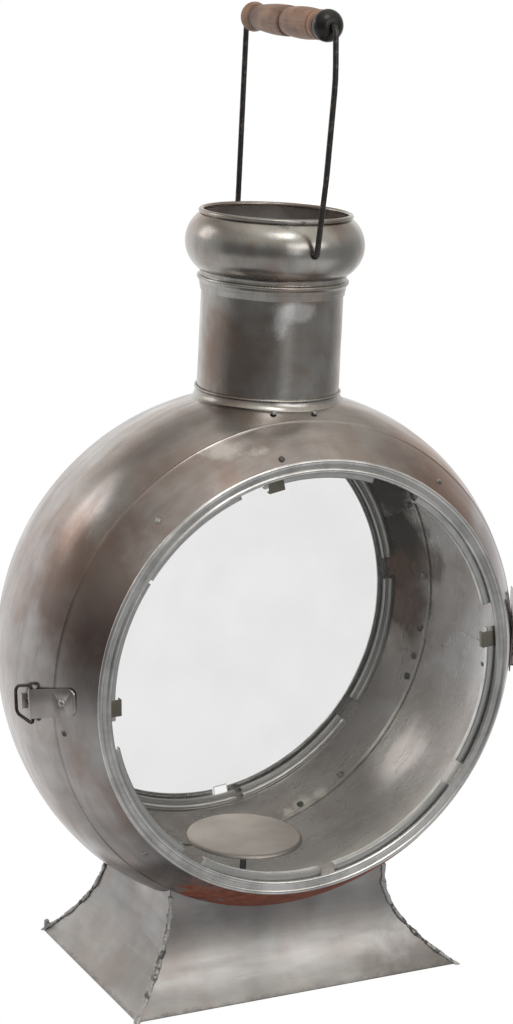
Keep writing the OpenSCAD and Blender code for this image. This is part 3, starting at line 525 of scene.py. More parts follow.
def ring_iron():
    t = tones()
    tan = dull(t.iron_warm, (1.25, 1.15, 1.0))
    burnt = dull(t.iron_warm, (0.5, 0.4, 0.36))
    marks = (((150, -60, 490), 60, (1.0, 1.0, 1.0), tan, 0.45),
             ((-215, -75, 400), 66, (1.0, 1.0, 0.8), burnt, 0.5))
    return rolled_iron("rolled_iron_ring", t.iron_light, t.iron_dark, 0.5, True, ROUND,
                       marks=marks)


def inner_iron():
    """The inside of the ring: a lighter copy of the sheet, painted light for its reflections;
    scorched by the welding, with painted shade over its upper part and a painted highlight below.
    """
    t = tones()
    scorch, painted_inside_shade = dull(t.iron_warm, (0.42, 0.38, 0.36)), dull(t.iron_warm, (0.07, 0.06, 0.05))
    even = (1.0, 1.0, 1.0)
    seam, solder = (0.0, 1.0, 0.0), (0.9, 0.88, 0.81)
    # Painted shade: the darkest patches over the upper inside; the scorch patches round them are
    # heat stains.
    marks = (((0, 73, 0), 3.4, seam, (0.62, 0.6, 0.57), 0.75),
             ((212, 97, 296), 44, even, scorch, 0.9), ((203, 106, 366), 48, even, painted_inside_shade, 0.95),
             ((206, 102, 328), 30, even, scorch, 1.0),
             ((165, 104, 420), 62, even, painted_inside_shade, 0.95), ((215, 68, 345), 26, even, scorch, 0.7),
             ((110, 100, 470), 60, even, painted_inside_shade, 0.8),
             # Painted highlight: a pale stretched patch low on the inside.
             ((188, 37, 164), 30, (0.8, 1.4, 0.8), (0.78, 0.71, 0.67), 0.9),
             ((205, 10, 215), 46, (1.0, 1.0, 0.7), (0.62, 0.58, 0.56), 0.5),
             ((99, 77, 107), 12, even, solder, 1.0), ((117, 76, 115), 9, even, solder, 1.0),
             ((84, 77, 98), 7, even, solder, 1.0),
             ((187, 71, 180), 30, (0.8, 7.0, 0.8), solder, 1.0))
    return rolled_iron("rolled_iron_inside", t.lightened_inside_light, t.lightened_inside_dark, 0.4, True, ROUND,
                       marks=marks)


def flue_iron():
    """The inside of the chimney: dull, in the lighter inside colours, painted light that stands in
    for light reaching into the bulb.
    """
    t = tones()
    return rolled_iron("flue_iron_painted_light", t.lightened_inside_light, t.lightened_inside_dark, 0.3, gloss=0.42)


def neck_iron():
    """Rolled sheet of the chimney, with a painted highlight in one place under its bead."""
    t = tones()
    painted_neck_highlight = (0.86, 0.85, 0.83)
    # Painted highlight: a bright patch on the front of the neck under its bead.
    marks = (((-8, -62, 623), 24, (1.0, 1.0, 2.4), painted_neck_highlight, 0.7),
             ((-20, -62, 612), 12, (1.4, 1.0, 0.9), painted_neck_highlight, 0.6),
             ((62, 0, 590), 62, (1.0, 0.8, 0.7), dull(t.iron_warm, (0.62, 0.55, 0.48)), 0.6),
             ((-55, -30, 585), 45, (1.0, 1.0, 0.8), dull(t.iron_warm, (0.7, 0.66, 0.62)), 0.5))
    cool = (0.97, 1.0, 0.97)
    return rolled_iron("rolled_iron_neck", dull(t.iron_light, cool), dull(t.iron_dark, cool),
                       0.55, streak=(1.0, 1.0, 0.35), marks=marks)


def door_iron():
    t = tones()
    scuff = (0.74, 0.73, 0.71)
    marks = (((-84, -88, 510), 17, (0.8, 1.0, 1.6), scuff, 0.55),
             ((-52, -96, 508), 12, (0.9, 1.0, 1.6), scuff, 0.5),
             ((-200, -95, 398), 72, (1.0, 1.0, 0.8), dull(t.iron_warm, (0.5, 0.4, 0.36)), 0.55),
             ((140, -95, 470), 60, (0.8, 1.0, 1.2), dull(t.iron_warm, (0.72, 0.6, 0.5)), 0.7))
    return rolled_iron("rolled_iron_door", t.iron_light, t.iron_dark, 0.5, True, ROUND, True,
                       marks)


def foot_iron():
    """Sheet of the foot, ground to a soft shine, with painted shade along its lower edge and at its
    right front corner, and the ring's painted shadow at the top of its front.
    """
    t = tones()
    painted_foot_shade = dull(t.foot_dark, (0.4, 0.36, 0.34))
    # Painted shade at the right front corner, the ring's painted shadow on top of the front panel,
    # and painted shade along the lower edge.
    marks = (((156, -112, 10), 60, (0.75, 1.0, 1.0), painted_foot_shade, 0.55),
             ((-30, -75, 84), 52, (0.6, 1.0, 1.5), painted_foot_shade, 0.22),
             ((0, 0, -4), 8, (0.0, 0.0, 1.0), painted_foot_shade, 0.5))
    return rolled_iron("ground_iron_foot", t.foot_light, t.foot_dark, 0.25,
                       streak=(0.16, 0.16, 1.0), marks=marks, gloss=0.27)


def zinc_coat(name, bright, worn, patch_mm, low_rough, high_rough):
    """Zinc on steel: even satin grey with soft weathered patches and a fine grain."""
    made, tree = new_material(name)
    if tree is None:
        return made
    place = add(tree, 'ShaderNodeTexCoord').outputs['Object']
    patch = noise(tree, place, patch_mm, 4.0)
    base = blend(tree, band(tree, patch, 0.4, 0.66), bright, worn)
    specks = noise(tree, place, 3.5, 4.0, 0.7)
    base = blend(tree, band(tree, specks, 0.66, 0.78, 0.0, 0.5), base, tones().weld)
    grain = noise(tree, place, 1.6, 3.0)
    relief = add(tree, 'ShaderNodeBump', {
        'Strength': 0.35, 'Distance': 0.00008, 'Height': grain}).outputs[0]
    surface(tree, add(tree, 'ShaderNodeBsdfPrincipled', {
        'Base Color': base, 'Metallic': 1.0, 'Roughness': band(
            tree, patch, 0.3, 0.7, low_rough, high_rough), 'Normal': relief}))
    return made


def galvanised():
    """Pressed galvanised rims: smooth enough to show bright lines along their beads."""
    t = tones()
    return zinc_coat("galvanised_rim", t.zinc, t.zinc_dull, 40, 0.18, 0.3)


def bare_zinc():
    """Bare zinc strip: pale, with a coarse satin finish."""
    t = tones()
    return zinc_coat("bare_zinc_strip", t.strip, t.zinc, 14, 0.3, 0.44)


def plate_zinc():
    """Dull galvanised plate: matt warm grey, smoke has taken its shine."""
    t = tones()
    return zinc_coat("dull_zinc_plate", t.plate, dull(t.plate, (0.86, 0.85, 0.84)), 45, 0.5, 0.6)


def black_iron():
    """Blackened drawn wire: dark oxide that is rubbed bright in fine streaks."""
    made, tree = new_material("blackened_wire")
    if tree is None:
        return made
    t = tones()
    place = add(tree, 'ShaderNodeTexCoord').outputs['Object']
    rub = add(tree, 'ShaderNodeTexNoise', {
        'Vector': place, 'Scale': per_mm(6), 'Detail': 5.0, 'Roughness': 0.65}).outputs[0]
    worn = add(tree, 'ShaderNodeMapRange', {
        'Value': rub, 'From Min': 0.52, 'From Max': 0.72, 'To Max': 0.6}).outputs[0]
    base = add(tree, 'ShaderNodeMix', {0: worn, 6: rgba(t.black_iron), 7: rgba(t.iron_dark)},
               data_type='RGBA').outputs[2]
    relief = add(tree, 'ShaderNodeBump', {
        'Strength': 0.4, 'Distance': 0.0002, 'Height': rub}).outputs[0]
    surface(tree, add(tree, 'ShaderNodeBsdfPrincipled', {
        'Base Color': base, 'Metallic': 0.9, 'Roughness': 0.42, 'Normal': relief}))
    return made


def scorched_tack():
    """Small tack welds, burnt dark with hardly a bright grain."""
    return weld_metal("scorched_tack", 0.45)


def weld_metal(name="weld_metal", bright=0.51):
    """Weld metal: rough dark bead with brighter ground lumps."""
    made, tree = new_material(name)
    if tree is None:
        return made
    t = tones()
    place = add(tree, 'ShaderNodeTexCoord').outputs['Object']
    burn = add(tree, 'ShaderNodeTexNoise', {
        'Vector': place, 'Scale': per_mm(14), 'Detail': 4.0, 'Roughness': 0.7}).outputs[0]
    dark = add(tree, 'ShaderNodeMapRange', {
        'Value': burn, 'From Min': bright, 'From Max': bright + 0.1, 'To Max': 0.85}).outputs[0]
    base = add(tree, 'ShaderNodeMix', {0: dark, 6: rgba(t.foot_light), 7: rgba(t.weld)},
               data_type='RGBA').outputs[2]
    grit = add(tree, 'ShaderNodeTexNoise', {
        'Vector': place, 'Scale': per_mm(1.5), 'Detail': 4.0, 'Roughness': 0.7}).outputs[0]
    relief = add(tree, 'ShaderNodeBump', {
        'Strength': 0.8, 'Distance': 0.0004, 'Height': grit}).outputs[0]
    surface(tree, add(tree, 'ShaderNodeBsdfPrincipled', {
        'Base Color': base, 'Metallic': 0.85, 'Roughness': 0.55, 'Normal': relief}))
    return made


def tarnished_brass():
    """Tarnished brass sheet: dull yellow-grey, satin."""
    made, tree = new_material("tarnished_brass")
    if tree is None:
        return made
    t = tones()
    place = add(tree, 'ShaderNodeTexCoord').outputs['Object']
    patch = add(tree, 'ShaderNodeTexNoise', {
        'Vector': place, 'Scale': per_mm(4), 'Detail': 4.0, 'Roughness': 0.6}).outputs[0]
    base = add(tree, 'ShaderNodeMix', {0: patch, 6: rgba(t.clip), 7: rgba(t.iron_dark)},
               data_type='RGBA').outputs[2]
    surface(tree, add(tree, 'ShaderNodeBsdfPrincipled', {
        'Base Color': base, 'Metallic': 1.0, 'Roughness': 0.42}))
    return made


def window_glass():
    """Clear float glass: nearly invisible face on, brighter where it is seen aslant."""
    made, tree = new_material("float_glass")
    if tree is None:
        return made
    place = add(tree, 'ShaderNodeTexCoord').outputs['Object']
    smear = add(tree, 'ShaderNodeTexNoise', {
        'Vector': place, 'Scale': per_mm(60), 'Detail': 3.0}).outputs[0]
    slant = add(tree, 'ShaderNodeFresnel', {'IOR': 1.5}).outputs[0]
    haze = add(tree, 'ShaderNodeMapRange', {
        'Value': smear, 'From Min': 0.35, 'From Max': 0.7, 'To Min': 0.03,
        'To Max': 0.05}).outputs[0]
    shown = add(tree, 'ShaderNodeMath', {0: slant, 1: 0.55, 2: haze},
                operation='MULTIPLY_ADD').outputs[0]
    surface(tree, add(tree, 'ShaderNodeBsdfPrincipled', {
        'Base Color': (0.34, 0.36, 0.355, 1.0), 'Roughness': 0.03, 'IOR': 1.5,
        'Alpha': shown}))
    return made


def turned_wood():
    """Turned and oiled hardwood: grain runs along the grip, with darker patches, darker again in
    its grooves and at its ends.
    """
    made, tree = new_material("turned_hardwood")
    if tree is None:
        return made
    t = tones()
    place = add(tree, 'ShaderNodeTexCoord').outputs['Object']
    drawn = add(tree, 'ShaderNodeMapping', {
        'Vector': place, 'Scale': (1.0, 0.08, 1.0)}).outputs[0]
    grain = add(tree, 'ShaderNodeTexNoise', {
        'Vector': drawn, 'Scale': per_mm(2.2), 'Detail': 6.0, 'Roughness': 0.65}).outputs[0]
    patch = add(tree, 'ShaderNodeTexNoise', {
        'Vector': place, 'Scale': per_mm(22), 'Detail': 3.0}).outputs[0]
    mixed = add(tree, 'ShaderNodeMath', {0: grain, 1: 0.6, 2: patch},
                operation='MULTIPLY_ADD').outputs[0]
    tone = add(tree, 'ShaderNodeMapRange', {
        'Value': mixed, 'From Min': 0.62, 'From Max': 0.98}).outputs[0]
    base = add(tree, 'ShaderNodeMix', {0: tone, 6: rgba(t.wood_light), 7: rgba(t.wood_dark)},
               data_type='RGBA').outputs[2]
    parts = add(tree, 'ShaderNodeSeparateXYZ', {0: place}).outputs
    rise = maths(tree, 'SUBTRACT', parts['Z'], GRIP_AXIS)
    square = maths(tree, 'MULTIPLY_ADD', rise, rise,
                   maths(tree, 'MULTIPLY', parts['X'], parts['X']))
    out = maths(tree, 'SQRT', square, 0.5)
    # Darker in the grooves and on the end faces, where the radius is small
    groove_darkening = band(tree, maths(tree, 'MULTIPLY_ADD', patch, -0.002, out), 0.0112, 0.0092)
    base = blend(tree, groove_darkening, base, dull(t.wood_dark, (0.4, 0.38, 0.36)))
    relief = add(tree, 'ShaderNodeBump', {
        'Strength': 0.5, 'Distance': 0.0002, 'Height': grain}).outputs[0]
    surface(tree, add(tree, 'ShaderNodeBsdfPrincipled', {
        'Base Color': base, 'Roughness': 0.5, 'Normal': relief}))
    return made


def black_lacquer():
    """Black lacquered bead: semi-gloss, with fine scratches."""
    made, tree = new_material("black_lacquer")
    if tree is None:
        return made
    place = add(tree, 'ShaderNodeTexCoord').outputs['Object']
    rub = add(tree, 'ShaderNodeTexNoise', {
        'Vector': place, 'Scale': per_mm(5), 'Detail': 6.0, 'Roughness': 0.7}).outputs[0]
    rough = add(tree, 'ShaderNodeMapRange', {
        'Value': rub, 'From Min': 0.3, 'From Max': 0.7, 'To Min': 0.18,
        'To Max': 0.42}).outputs[0]
    relief = add(tree, 'ShaderNodeBump', {
        'Strength': 0.4, 'Distance': 0.0003, 'Height': rub}).outputs[0]
    surface(tree, add(tree, 'ShaderNodeBsdfPrincipled', {
        'Base Color': rgba(tones().bead), 'Roughness': rough, 'Normal': relief}))
    return made


# ---- Pieces ----

def ring_centre():
    return (0.0, 0.0, sizes().ring_height)


def build_ring(context):
    s = sizes()
    stations = spaced(-s.door_seam_y, s.rear_seam_y, 44)
    outline = [(band_radius(y), y) for y in stations]
    outline += [(band_radius(y, s.sheet), y) for y in reversed(stations)]
    band = turned(outline, 'Y', ring_centre(), 240)
    cut(band, cylinder(s.neck_r - s.sheet, 0.2, (0, 0, s.ring_height + s.crest_r), sides=192))
    cut(band, cylinder(3.1 * MM, 0.1, (0, 0, s.ring_height - s.crest_r), sides=48))
    dents(band, 1.1 * MM, 0.075)
    settle(band, "ring_band.sheet", "lantern", "sheet_iron", ring_iron(), "ring_band", smooth=35)
    line_inside(band, inner_iron())

    centre, arc = dish_arc((s.rear_seam_r, s.rear_seam_y), (s.rear_rim_r, s.half_depth))
    stations = spaced(s.rear_seam_y, s.half_depth, 22)
    outline = [(dish_radius(centre, arc, y), y) for y in stations]
    outline += [(dish_radius(centre, arc - s.sheet, y), y) for y in reversed(stations)]
    # Its flange laps the inside of the band
    step = 1.3 * s.sheet
    outline += [(band_radius(s.rear_seam_y, s.sheet) - 0.6 * MM, s.rear_seam_y - 0.6 * MM)]
    outline += [(band_radius(y, s.sheet) - step, y)
                for y in spaced(s.rear_seam_y - 2 * MM, s.rear_seam_y - 5 * MM, 4)]
    outline += [(band_radius(y, s.sheet) - 0.1 * MM, y)
                for y in spaced(s.rear_seam_y - 5.4 * MM, s.rear_seam_y - 1 * MM, 4)]
    dish = turned(outline, 'Y', ring_centre(), 240)
    dents(dish, 1.1 * MM, 0.075)
    settle(dish, "rear_dish.sheet", "lantern", "sheet_iron", ring_iron(), "rear_dish")
    line_inside(dish, inner_iron())

    lap = copy_of("band_lap_strip")
    settle(lap, "band_lap_strip.sheet", "lantern", "sheet_iron", inner_iron(), "band_lap_strip")


def rim_outline(edge_r, side):
    """A rim's section: two pressed beads with a groove between them, and a flat behind."""
    s = sizes()
    face = side * s.half_depth
    inner, outer = edge_r - s.rim_w, edge_r + 0.6 * MM
    wide, tall, groove = 2.3 * MM, 1.85 * MM, 0.35 * MM
    sink = math.asin(groove / tall)

    def bead(middle, start, end):
        return [(middle + wide * math.cos(a), face + side * tall * math.sin(a))
                for a in spaced(start, end, 12)]

    points = [(inner + 0.3 * MM, face - side * MM)]
    points += bead(inner + wide, math.pi, sink)
    points += bead(outer - wide, math.pi - sink, 0)
    points += [(edge_r - 1.9 * MM, face), (edge_r - 1.9 * MM, face - side * MM)]
    return points


def build_rims(context):
    s = sizes()
    rim = turned(rim_outline(s.front_rim_r, -1), 'Y', ring_centre(), 240)
    settle(rim, "door_rim.sheet", "door", "zinc_sheet", galvanised(), "door_rim", smooth=50)
    rim = turned(rim_outline(s.rear_rim_r, 1), 'Y', ring_centre(), 240)
    notch = math.radians(278)
    reach = s.rear_rim_r - s.rim_w - 3 * MM + s.rim_w / 2
    bpy.ops.object.select_all(action='DESELECT')
    bpy.ops.mesh.primitive_cube_add(
        size=1, scale=(s.rim_w, 16 * MM, 16 * MM), rotation=(0, -notch, 0),
        location=(reach * math.cos(notch), s.half_depth, s.ring_height + reach * math.sin(notch)))
    cut(rim, bpy.context.object)
    settle(rim, "rear_rim.sheet", "lantern", "zinc_sheet", galvanised(), "rear_rim", smooth=50)


FRONT_GAPS = (7, 55, 103, 143, 183, 229, 274, 319)
REAR_GAPS = (1.5, 46, 91, 136, 181, 226, 278.5, 317.5)
STRIP_GAP = 7


def strips(outline, gaps):
    """Lengths of bent strip between the gaps round a pane."""
    made = []
    for here, after in zip(gaps, (*gaps[1:], gaps[0] + 360)):
        sweep = after - here - STRIP_GAP
        made.append(turned(outline, 'Y', ring_centre(), max(10, round(sweep / 1.5)),
                           here + STRIP_GAP / 2, sweep))
    return eased(joined(made), 0.25 * MM)


def build_panes(context):
    s = sizes()
    for node in ("door_glass", "rear_glass"):
        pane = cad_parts[node]
        pane.data.materials.clear()
        pane.data.materials.append(window_glass())

    # Front strips: round the pane's edge, over its back, then turned to the rear
    edge, back = s.front_rim_r - s.rim_w, -s.half_depth + 4 * MM
    path = [(edge + 6.4 * MM, back - 2.8 * MM), (edge + 6.4 * MM, back + 0.7 * MM),
            (edge - 4.4 * MM, back + 0.7 * MM), (edge - 5.0 * MM, back + 1.5 * MM),
            (edge - 5.0 * MM, back + 6 * MM)]
    piece = strips(sheet_outline(path, 1.0 * MM), FRONT_GAPS)
    settle(piece, "door_glass_strips.bent", "door", "zinc_sheet", bare_zinc(),
           "door_glass_strips", smooth=30)

    # Rear strips: an edge on the pane, a rolled bead, a groove and a crown to the dish's wall
    edge, front = s.rear_rim_r - s.rim_w, s.half_depth - 4 * MM
    path = [(4.9, 0.1), (4.9, 3.0), (5.5, 3.9), (6.3, 3.6), (7.0, 1.8), (8.6, 1.6), (9.6, 3.6),
            (10.8, 4.7), (12.4, 4.9), (13.8, 4.2), (14.6, 3.0)]
    path = [(edge + r * MM, front - y * MM) for r, y in path]
    piece = strips(sheet_outline(path, 0.9 * MM), REAR_GAPS)
    settle(piece, "rear_glass_strips.bent", "lantern", "zinc_sheet", bare_zinc(),
           "rear_glass_strips", smooth=50)

    piece = eased(copy_of("door_glass_clips"), 0.3 * MM)
    settle(piece, "door_glass_clips.bent", "door", "brass", tarnished_brass(),
           "door_glass_clips")


def build_door(context):
    s = sizes()
    seam_y = -s.door_seam_y - s.door_gap
    centre, arc = dish_arc((s.door_seam_r, seam_y), (s.front_rim_r, -s.half_depth))
    hem = (s.door_seam_r - 0.8 * MM, seam_y - s.hem_r + 0.25 * MM)
    start = hem[1] - 1.9 * MM
    outer = [(dish_radius(centre, arc, y), y) for y in spaced(-s.half_depth, start, 24)]
    inner = [(dish_radius(centre, arc - s.sheet, y), y)
             for y in spaced(start + 0.9 * MM, -s.half_depth, 24)]
    outline = outer + round_bead(hem, s.hem_r, -62, 196, 20) + inner
    dish = turned(outline, 'Y', ring_centre(), 240)
    dents(dish, 0.9 * MM, 0.075)
    settle(dish, "door_dish.sheet", "door", "sheet_iron", door_iron(), "door_dish")
    line_inside(dish, ring_iron())

    for node in ("door_tacks", "rear_seam_tacks", "collar_tacks"):
        tack = copy_of(node)
        apply_modifier(tack, 'SUBSURF', levels=1, render_levels=1)
        lumps(tack, 1.4 * MM, 0.004, 0.1)
        if node == "collar_tacks":
            start_edit()
            bpy.ops.transform.translate(value=(0, 2.2 * MM, 2.0 * MM))
            end_edit()
        body = "door" if node == "door_tacks" else "lantern"
        settle(tack, node + ".weld", body, "weld_iron", scorched_tack(), node)


def build_neck(context):
    s = sizes()
    low = s.ring_height + s.crest_r - 30 * MM
    top = NECK_TOP
    outline = [(s.neck_r, low + 40 * MM), *[(s.neck_r, z) for z in spaced(low + 50 * MM, top, 9)],
               *[(s.neck_r - s.sheet, z) for z in spaced(top, low + 50 * MM, 9)],
               (s.neck_r - s.sheet, low + 40 * MM), (s.neck_r - s.sheet, low), (s.neck_r, low)]
    neck = turned(outline, steps=192)
    for vertex in neck.data.vertices:
        if vertex.co.z < low + 1 * MM:
            vertex.co.z = saddle(vertex.co.x, vertex.co.y) - 0.3 * MM
    dents(neck, 1.3 * MM, 0.06)
    settle(neck, "neck_tube.sheet", "lantern", "sheet_iron", neck_iron(), "neck_tube")

    # The collar's section runs from its rolled top edge down to the ring, u from 0 to 1
    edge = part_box("neck_collar")[1].z - s.sheet
    lip = round_bead((s.neck_r + s.sheet, 0), s.sheet, 170, -60, 12)
    skirt = [(s.neck_r + s.sheet + s.collar_out * (1 - math.sqrt(1 - (u * 0.98) ** 2)), -u)
             for u in spaced(0.22, 1.0, 14)]
    outline = lip + skirt + [(s.neck_r - 0.2 * MM, -1.0), (s.neck_r - 0.2 * MM, -0.2)]
    collar = turned(outline, steps=192)
    for vertex in collar.data.vertices:
        u = -vertex.co.z
        if u > 0.01:
            x, y = vertex.co.x, vertex.co.y
            vertex.co.z = edge - u * (edge - saddle(x, y) + 0.2 * MM)
        else:
            vertex.co.z += edge
    settle(collar, "neck_collar.sheet", "lantern", "sheet_iron", neck_iron(), "neck_collar")

    # The bead under the bulb, from its lower edge up: (out from the neck, down from its top)
    section = [(-0.1, 18), (0.6, 18), (0.9, 17.4), (0.9, 15.2), (1.3, 14.6), (1.6, 12.5),
               (1.9, 10.5), (2.5, 9.0), (3.4, 8.2)]
    section += [(2.6 + 1.5 * math.cos(a), 6.4 - 1.9 * math.sin(a))
                for a in spaced(math.radians(-40), math.radians(95), 12)]
    section += [(1.5, 4.0), (1.2, 3.2), (1.4, 2.2), (1.9, 1.4), (1.8, 0), (-0.1, 0)]
    bead = turned([(s.neck_r + r * MM, NECK_TOP - z * MM) for r, z in section], steps=192)
    dents(bead, 0.8 * MM, 0.05)
    settle(bead, "neck_bead.sheet", "lantern", "sheet_iron", neck_iron(), "neck_bead")


def bulb_radius(z, inset=0.0):
    """Radius of the bulb at a height above its foot: two arcs that meet at its belly."""
    s = sizes()
    belly, height = 25.5 * MM, BULB_TOP - NECK_TOP
    if z < belly:
        arc = arc_radius(belly, s.bulb_r - s.neck_r - s.sheet - 0.6 * MM)
    else:
        arc = arc_radius(height - belly, s.bulb_r - s.mouth_r)
    return s.bulb_r - arc + math.sqrt((arc - inset) ** 2 - (z - belly) ** 2)


def build_bulb(context):
    s = sizes()
    height = BULB_TOP - NECK_TOP
    stations = spaced(0, height, 36)
    outline = [(bulb_radius(z), z + NECK_TOP) for z in stations]
    outline += [(bulb_radius(z, s.sheet), z + NECK_TOP) for z in reversed(stations)]
    bulb = turned(outline, steps=224)
    cut(bulb, cylinder(2.9 * MM, 0.2, (0, 0, BAIL_PIVOT), (math.pi / 2, 0, 0), 40))
    dents(bulb, 1.1 * MM, 0.045)
    settle(bulb, "bulb.sheet", "lantern", "sheet_iron", neck_iron(), "bulb")
    line_inside(bulb, flue_iron(), 'Z')
    lip_r = 2.3 * MM
    middle = (s.mouth_r - s.sheet / 2, BULB_TOP + 0.8 * lip_r)
    lip = turned(round_bead(middle, lip_r, 0, 345, 23), steps=192)
    settle(lip, "bulb_lip.roll", "lantern", "sheet_iron", neck_iron(), "bulb_lip")


FOOT_TURN = math.radians(2.9)
FOOT_SHIFT = Vector((8.4, -3.8, 0)) * MM
# Half widths of the foot under the ring: left, right, front and rear
FOOT_NECK = {"left": 120.4 * MM, "right": 103.6 * MM, "front": 68.2 * MM, "rear": 70.8 * MM}
FLARE_POWER = 1.9
HEM = 9 * MM


def flare(z, base, neck):
    """Distance of a foot panel's middle surface from the foot's own middle."""
    h = sizes().flare_h
    up = max(0.0, 1 - z / h)
    slope = (base - neck) * FLARE_POWER / h * up ** (FLARE_POWER - 1)
    return neck + (base - neck) * up ** FLARE_POWER - 0.6 * MM * math.sqrt(1 + slope * slope)


def in_foot(x, y, z):
    turn = Vector((x * math.cos(FOOT_TURN) - y * math.sin(FOOT_TURN),
                   x * math.sin(FOOT_TURN) + y * math.cos(FOOT_TURN), z))
    return turn + FOOT_SHIFT


def foot_point(side, across, z, fold=0.0):
    """A point of a foot panel: across runs from 0 to 1 along it, fold draws the hem in."""
    s = sizes()
    if side in ("front", "rear"):
        sign = -1 if side == "front" else 1
        y = sign * (flare(z, s.foot_d / 2, FOOT_NECK[side]) - fold)
        left = -flare(z, s.foot_w / 2, FOOT_NECK["left"])
        right = flare(z, s.foot_w / 2, FOOT_NECK["right"])
        return in_foot(left + (right - left) * across, y, z)
    sign = -1 if side == "left" else 1
    x = sign * (flare(z, s.foot_w / 2, FOOT_NECK[side]) - fold)
    front = -flare(z, s.foot_d / 2, FOOT_NECK["front"])
    rear = flare(z, s.foot_d / 2, FOOT_NECK["rear"])
    return in_foot(x, front + (rear - front) * across, z)


def under_ring(x, y):
    return sizes().ring_height - math.sqrt(band_radius(y) ** 2 - x * x)


def panel_height(side, across):
    """Height at which a panel meets the underside of the ring, found in a few steps."""
    z = 90 * MM
    for _ in range(6):
        at = foot_point(side, across, z)
        z = under_ring(at.x, at.y)
    return z + 0.5 * MM


def build_foot(context):
    s = sizes()
    half = s.sheet / 2
    # Rows of a panel: the folded hem, the turn of its edge, then the way up
    folds = [(HEM - half, half), (HEM / 2, half), (1.4 * MM, half), (0.5 * MM, half + 0.1 * MM),
             (0.0, half + 0.55 * MM), (0.0, 2.2 * MM)]
    rows = 34
    columns = 48
    for side in ("front", "rear", "left", "right"):
        bpy.ops.object.select_all(action='DESELECT')
        bpy.ops.mesh.primitive_grid_add(x_subdivisions=columns, size=2,
                                        y_subdivisions=rows + len(folds) - 1)
        panel = bpy.context.object
        last = rows + len(folds) - 1
        for vertex in panel.data.vertices:
            across = (vertex.co.x + 1) / 2
            row = round((vertex.co.y + 1) / 2 * last)
            if row < len(folds):
                fold, z = folds[row]
                trim = 0.0 if fold < 2 * MM else 0.03
                vertex.co = foot_point(side, trim + (1 - 2 * trim) * across, z, fold)
            else:
                up = (row - len(folds) + 1) / rows
                z = 2.2 * MM + (panel_height(side, across) - 2.2 * MM) * up
                vertex.co = foot_point(side, across, z)
        only(panel)
        start_edit()
        bpy.ops.mesh.normals_make_consistent(inside=False)
        end_edit()
        apply_modifier(panel, 'SOLIDIFY', thickness=s.sheet, offset=0, use_even_offset=True)
        only(panel)
        start_edit()
        clean_mesh()
        node = "foot_" + side
        settle(panel, node + ".sheet", "lantern", "sheet_iron", foot_iron(), node)

    welds = copy_of("foot_corner_welds")
    apply_modifier(welds, 'REMESH', mode='VOXEL', voxel_size=0.9 * MM)
    apply_modifier(welds, 'SMOOTH', factor=0.5, iterations=3)
    lumps(welds, 2.5 * MM, 0.007, 0.3)
    settle(welds, "foot_corner_welds.bead", "lantern", "weld_iron", weld_metal(),
           "foot_corner_welds", smooth=60)


def build_candle(context):
    plate = eased(copy_of("candle_plate"), 0.25 * MM)
    settle(plate, "candle_plate.dish", "lantern", "zinc_sheet", plate_zinc(), "candle_plate")
    for node, slot, metal in (
            ("candle_stem", "dark_steel", black_iron()), ("stem_collar", "weld_iron", weld_metal()),
            ("stem_washer", "zinc_sheet", galvanised()), ("stem_nut", "zinc_sheet", galvanised())):
        piece = eased(copy_of(node), 0.3 * MM)
        settle(piece, node + ".part", "lantern", slot, metal, node)


def build_hardware(context):
    for node, body, slot, metal in (
            ("hinge_leaf_band", "lantern", "sheet_iron", ring_iron()),
            ("hinge_leaf_door", "door", "sheet_iron", ring_iron()),
            ("hinge_pin", "lantern", "dark_steel", black_iron()),
            ("hinge_rivets_band", "lantern", "dark_steel", black_iron()),
            ("hinge_rivets_door", "door", "dark_steel", black_iron()),
            ("latch_strap", "door", "sheet_iron", door_iron()),
            ("latch_rivet", "door", "dark_steel", ring_iron()),
            ("latch_catch", "lantern", "zinc_sheet", ring_iron()),
            ("catch_rivets", "lantern", "dark_steel", black_iron()),
            ("latch_loop", "latch_loop", "dark_steel", black_iron())):
        piece = copy_of(node)
        if node != "latch_loop":
            eased(piece, 0.25 * MM)
        settle(piece, node + ".part", body, slot, metal, node)


def rounded_path(corners, radii):
    """Points along a path whose inner corners are arcs of the given radii."""
    path = [Vector(corners[0])]
    for before, corner, after, radius in zip(corners, corners[1:], corners[2:], radii):
        corner = Vector(corner)
        back = (Vector(before) - corner).normalized()
        on = (Vector(after) - corner).normalized()
        half = back.angle(on) / 2
        cut_off = radius / math.tan(half)
        centre = corner + (back + on).normalized() * radius / math.sin(half)
        first, last = corner + back * cut_off - centre, corner + on * cut_off - centre
        steps = max(2, round(math.degrees(math.pi - 2 * half) / 6))
        path += [centre + first.slerp(last, i / steps).normalized() * radius
                 for i in range(steps + 1)]
    path.append(Vector(corners[-1]))
    return path


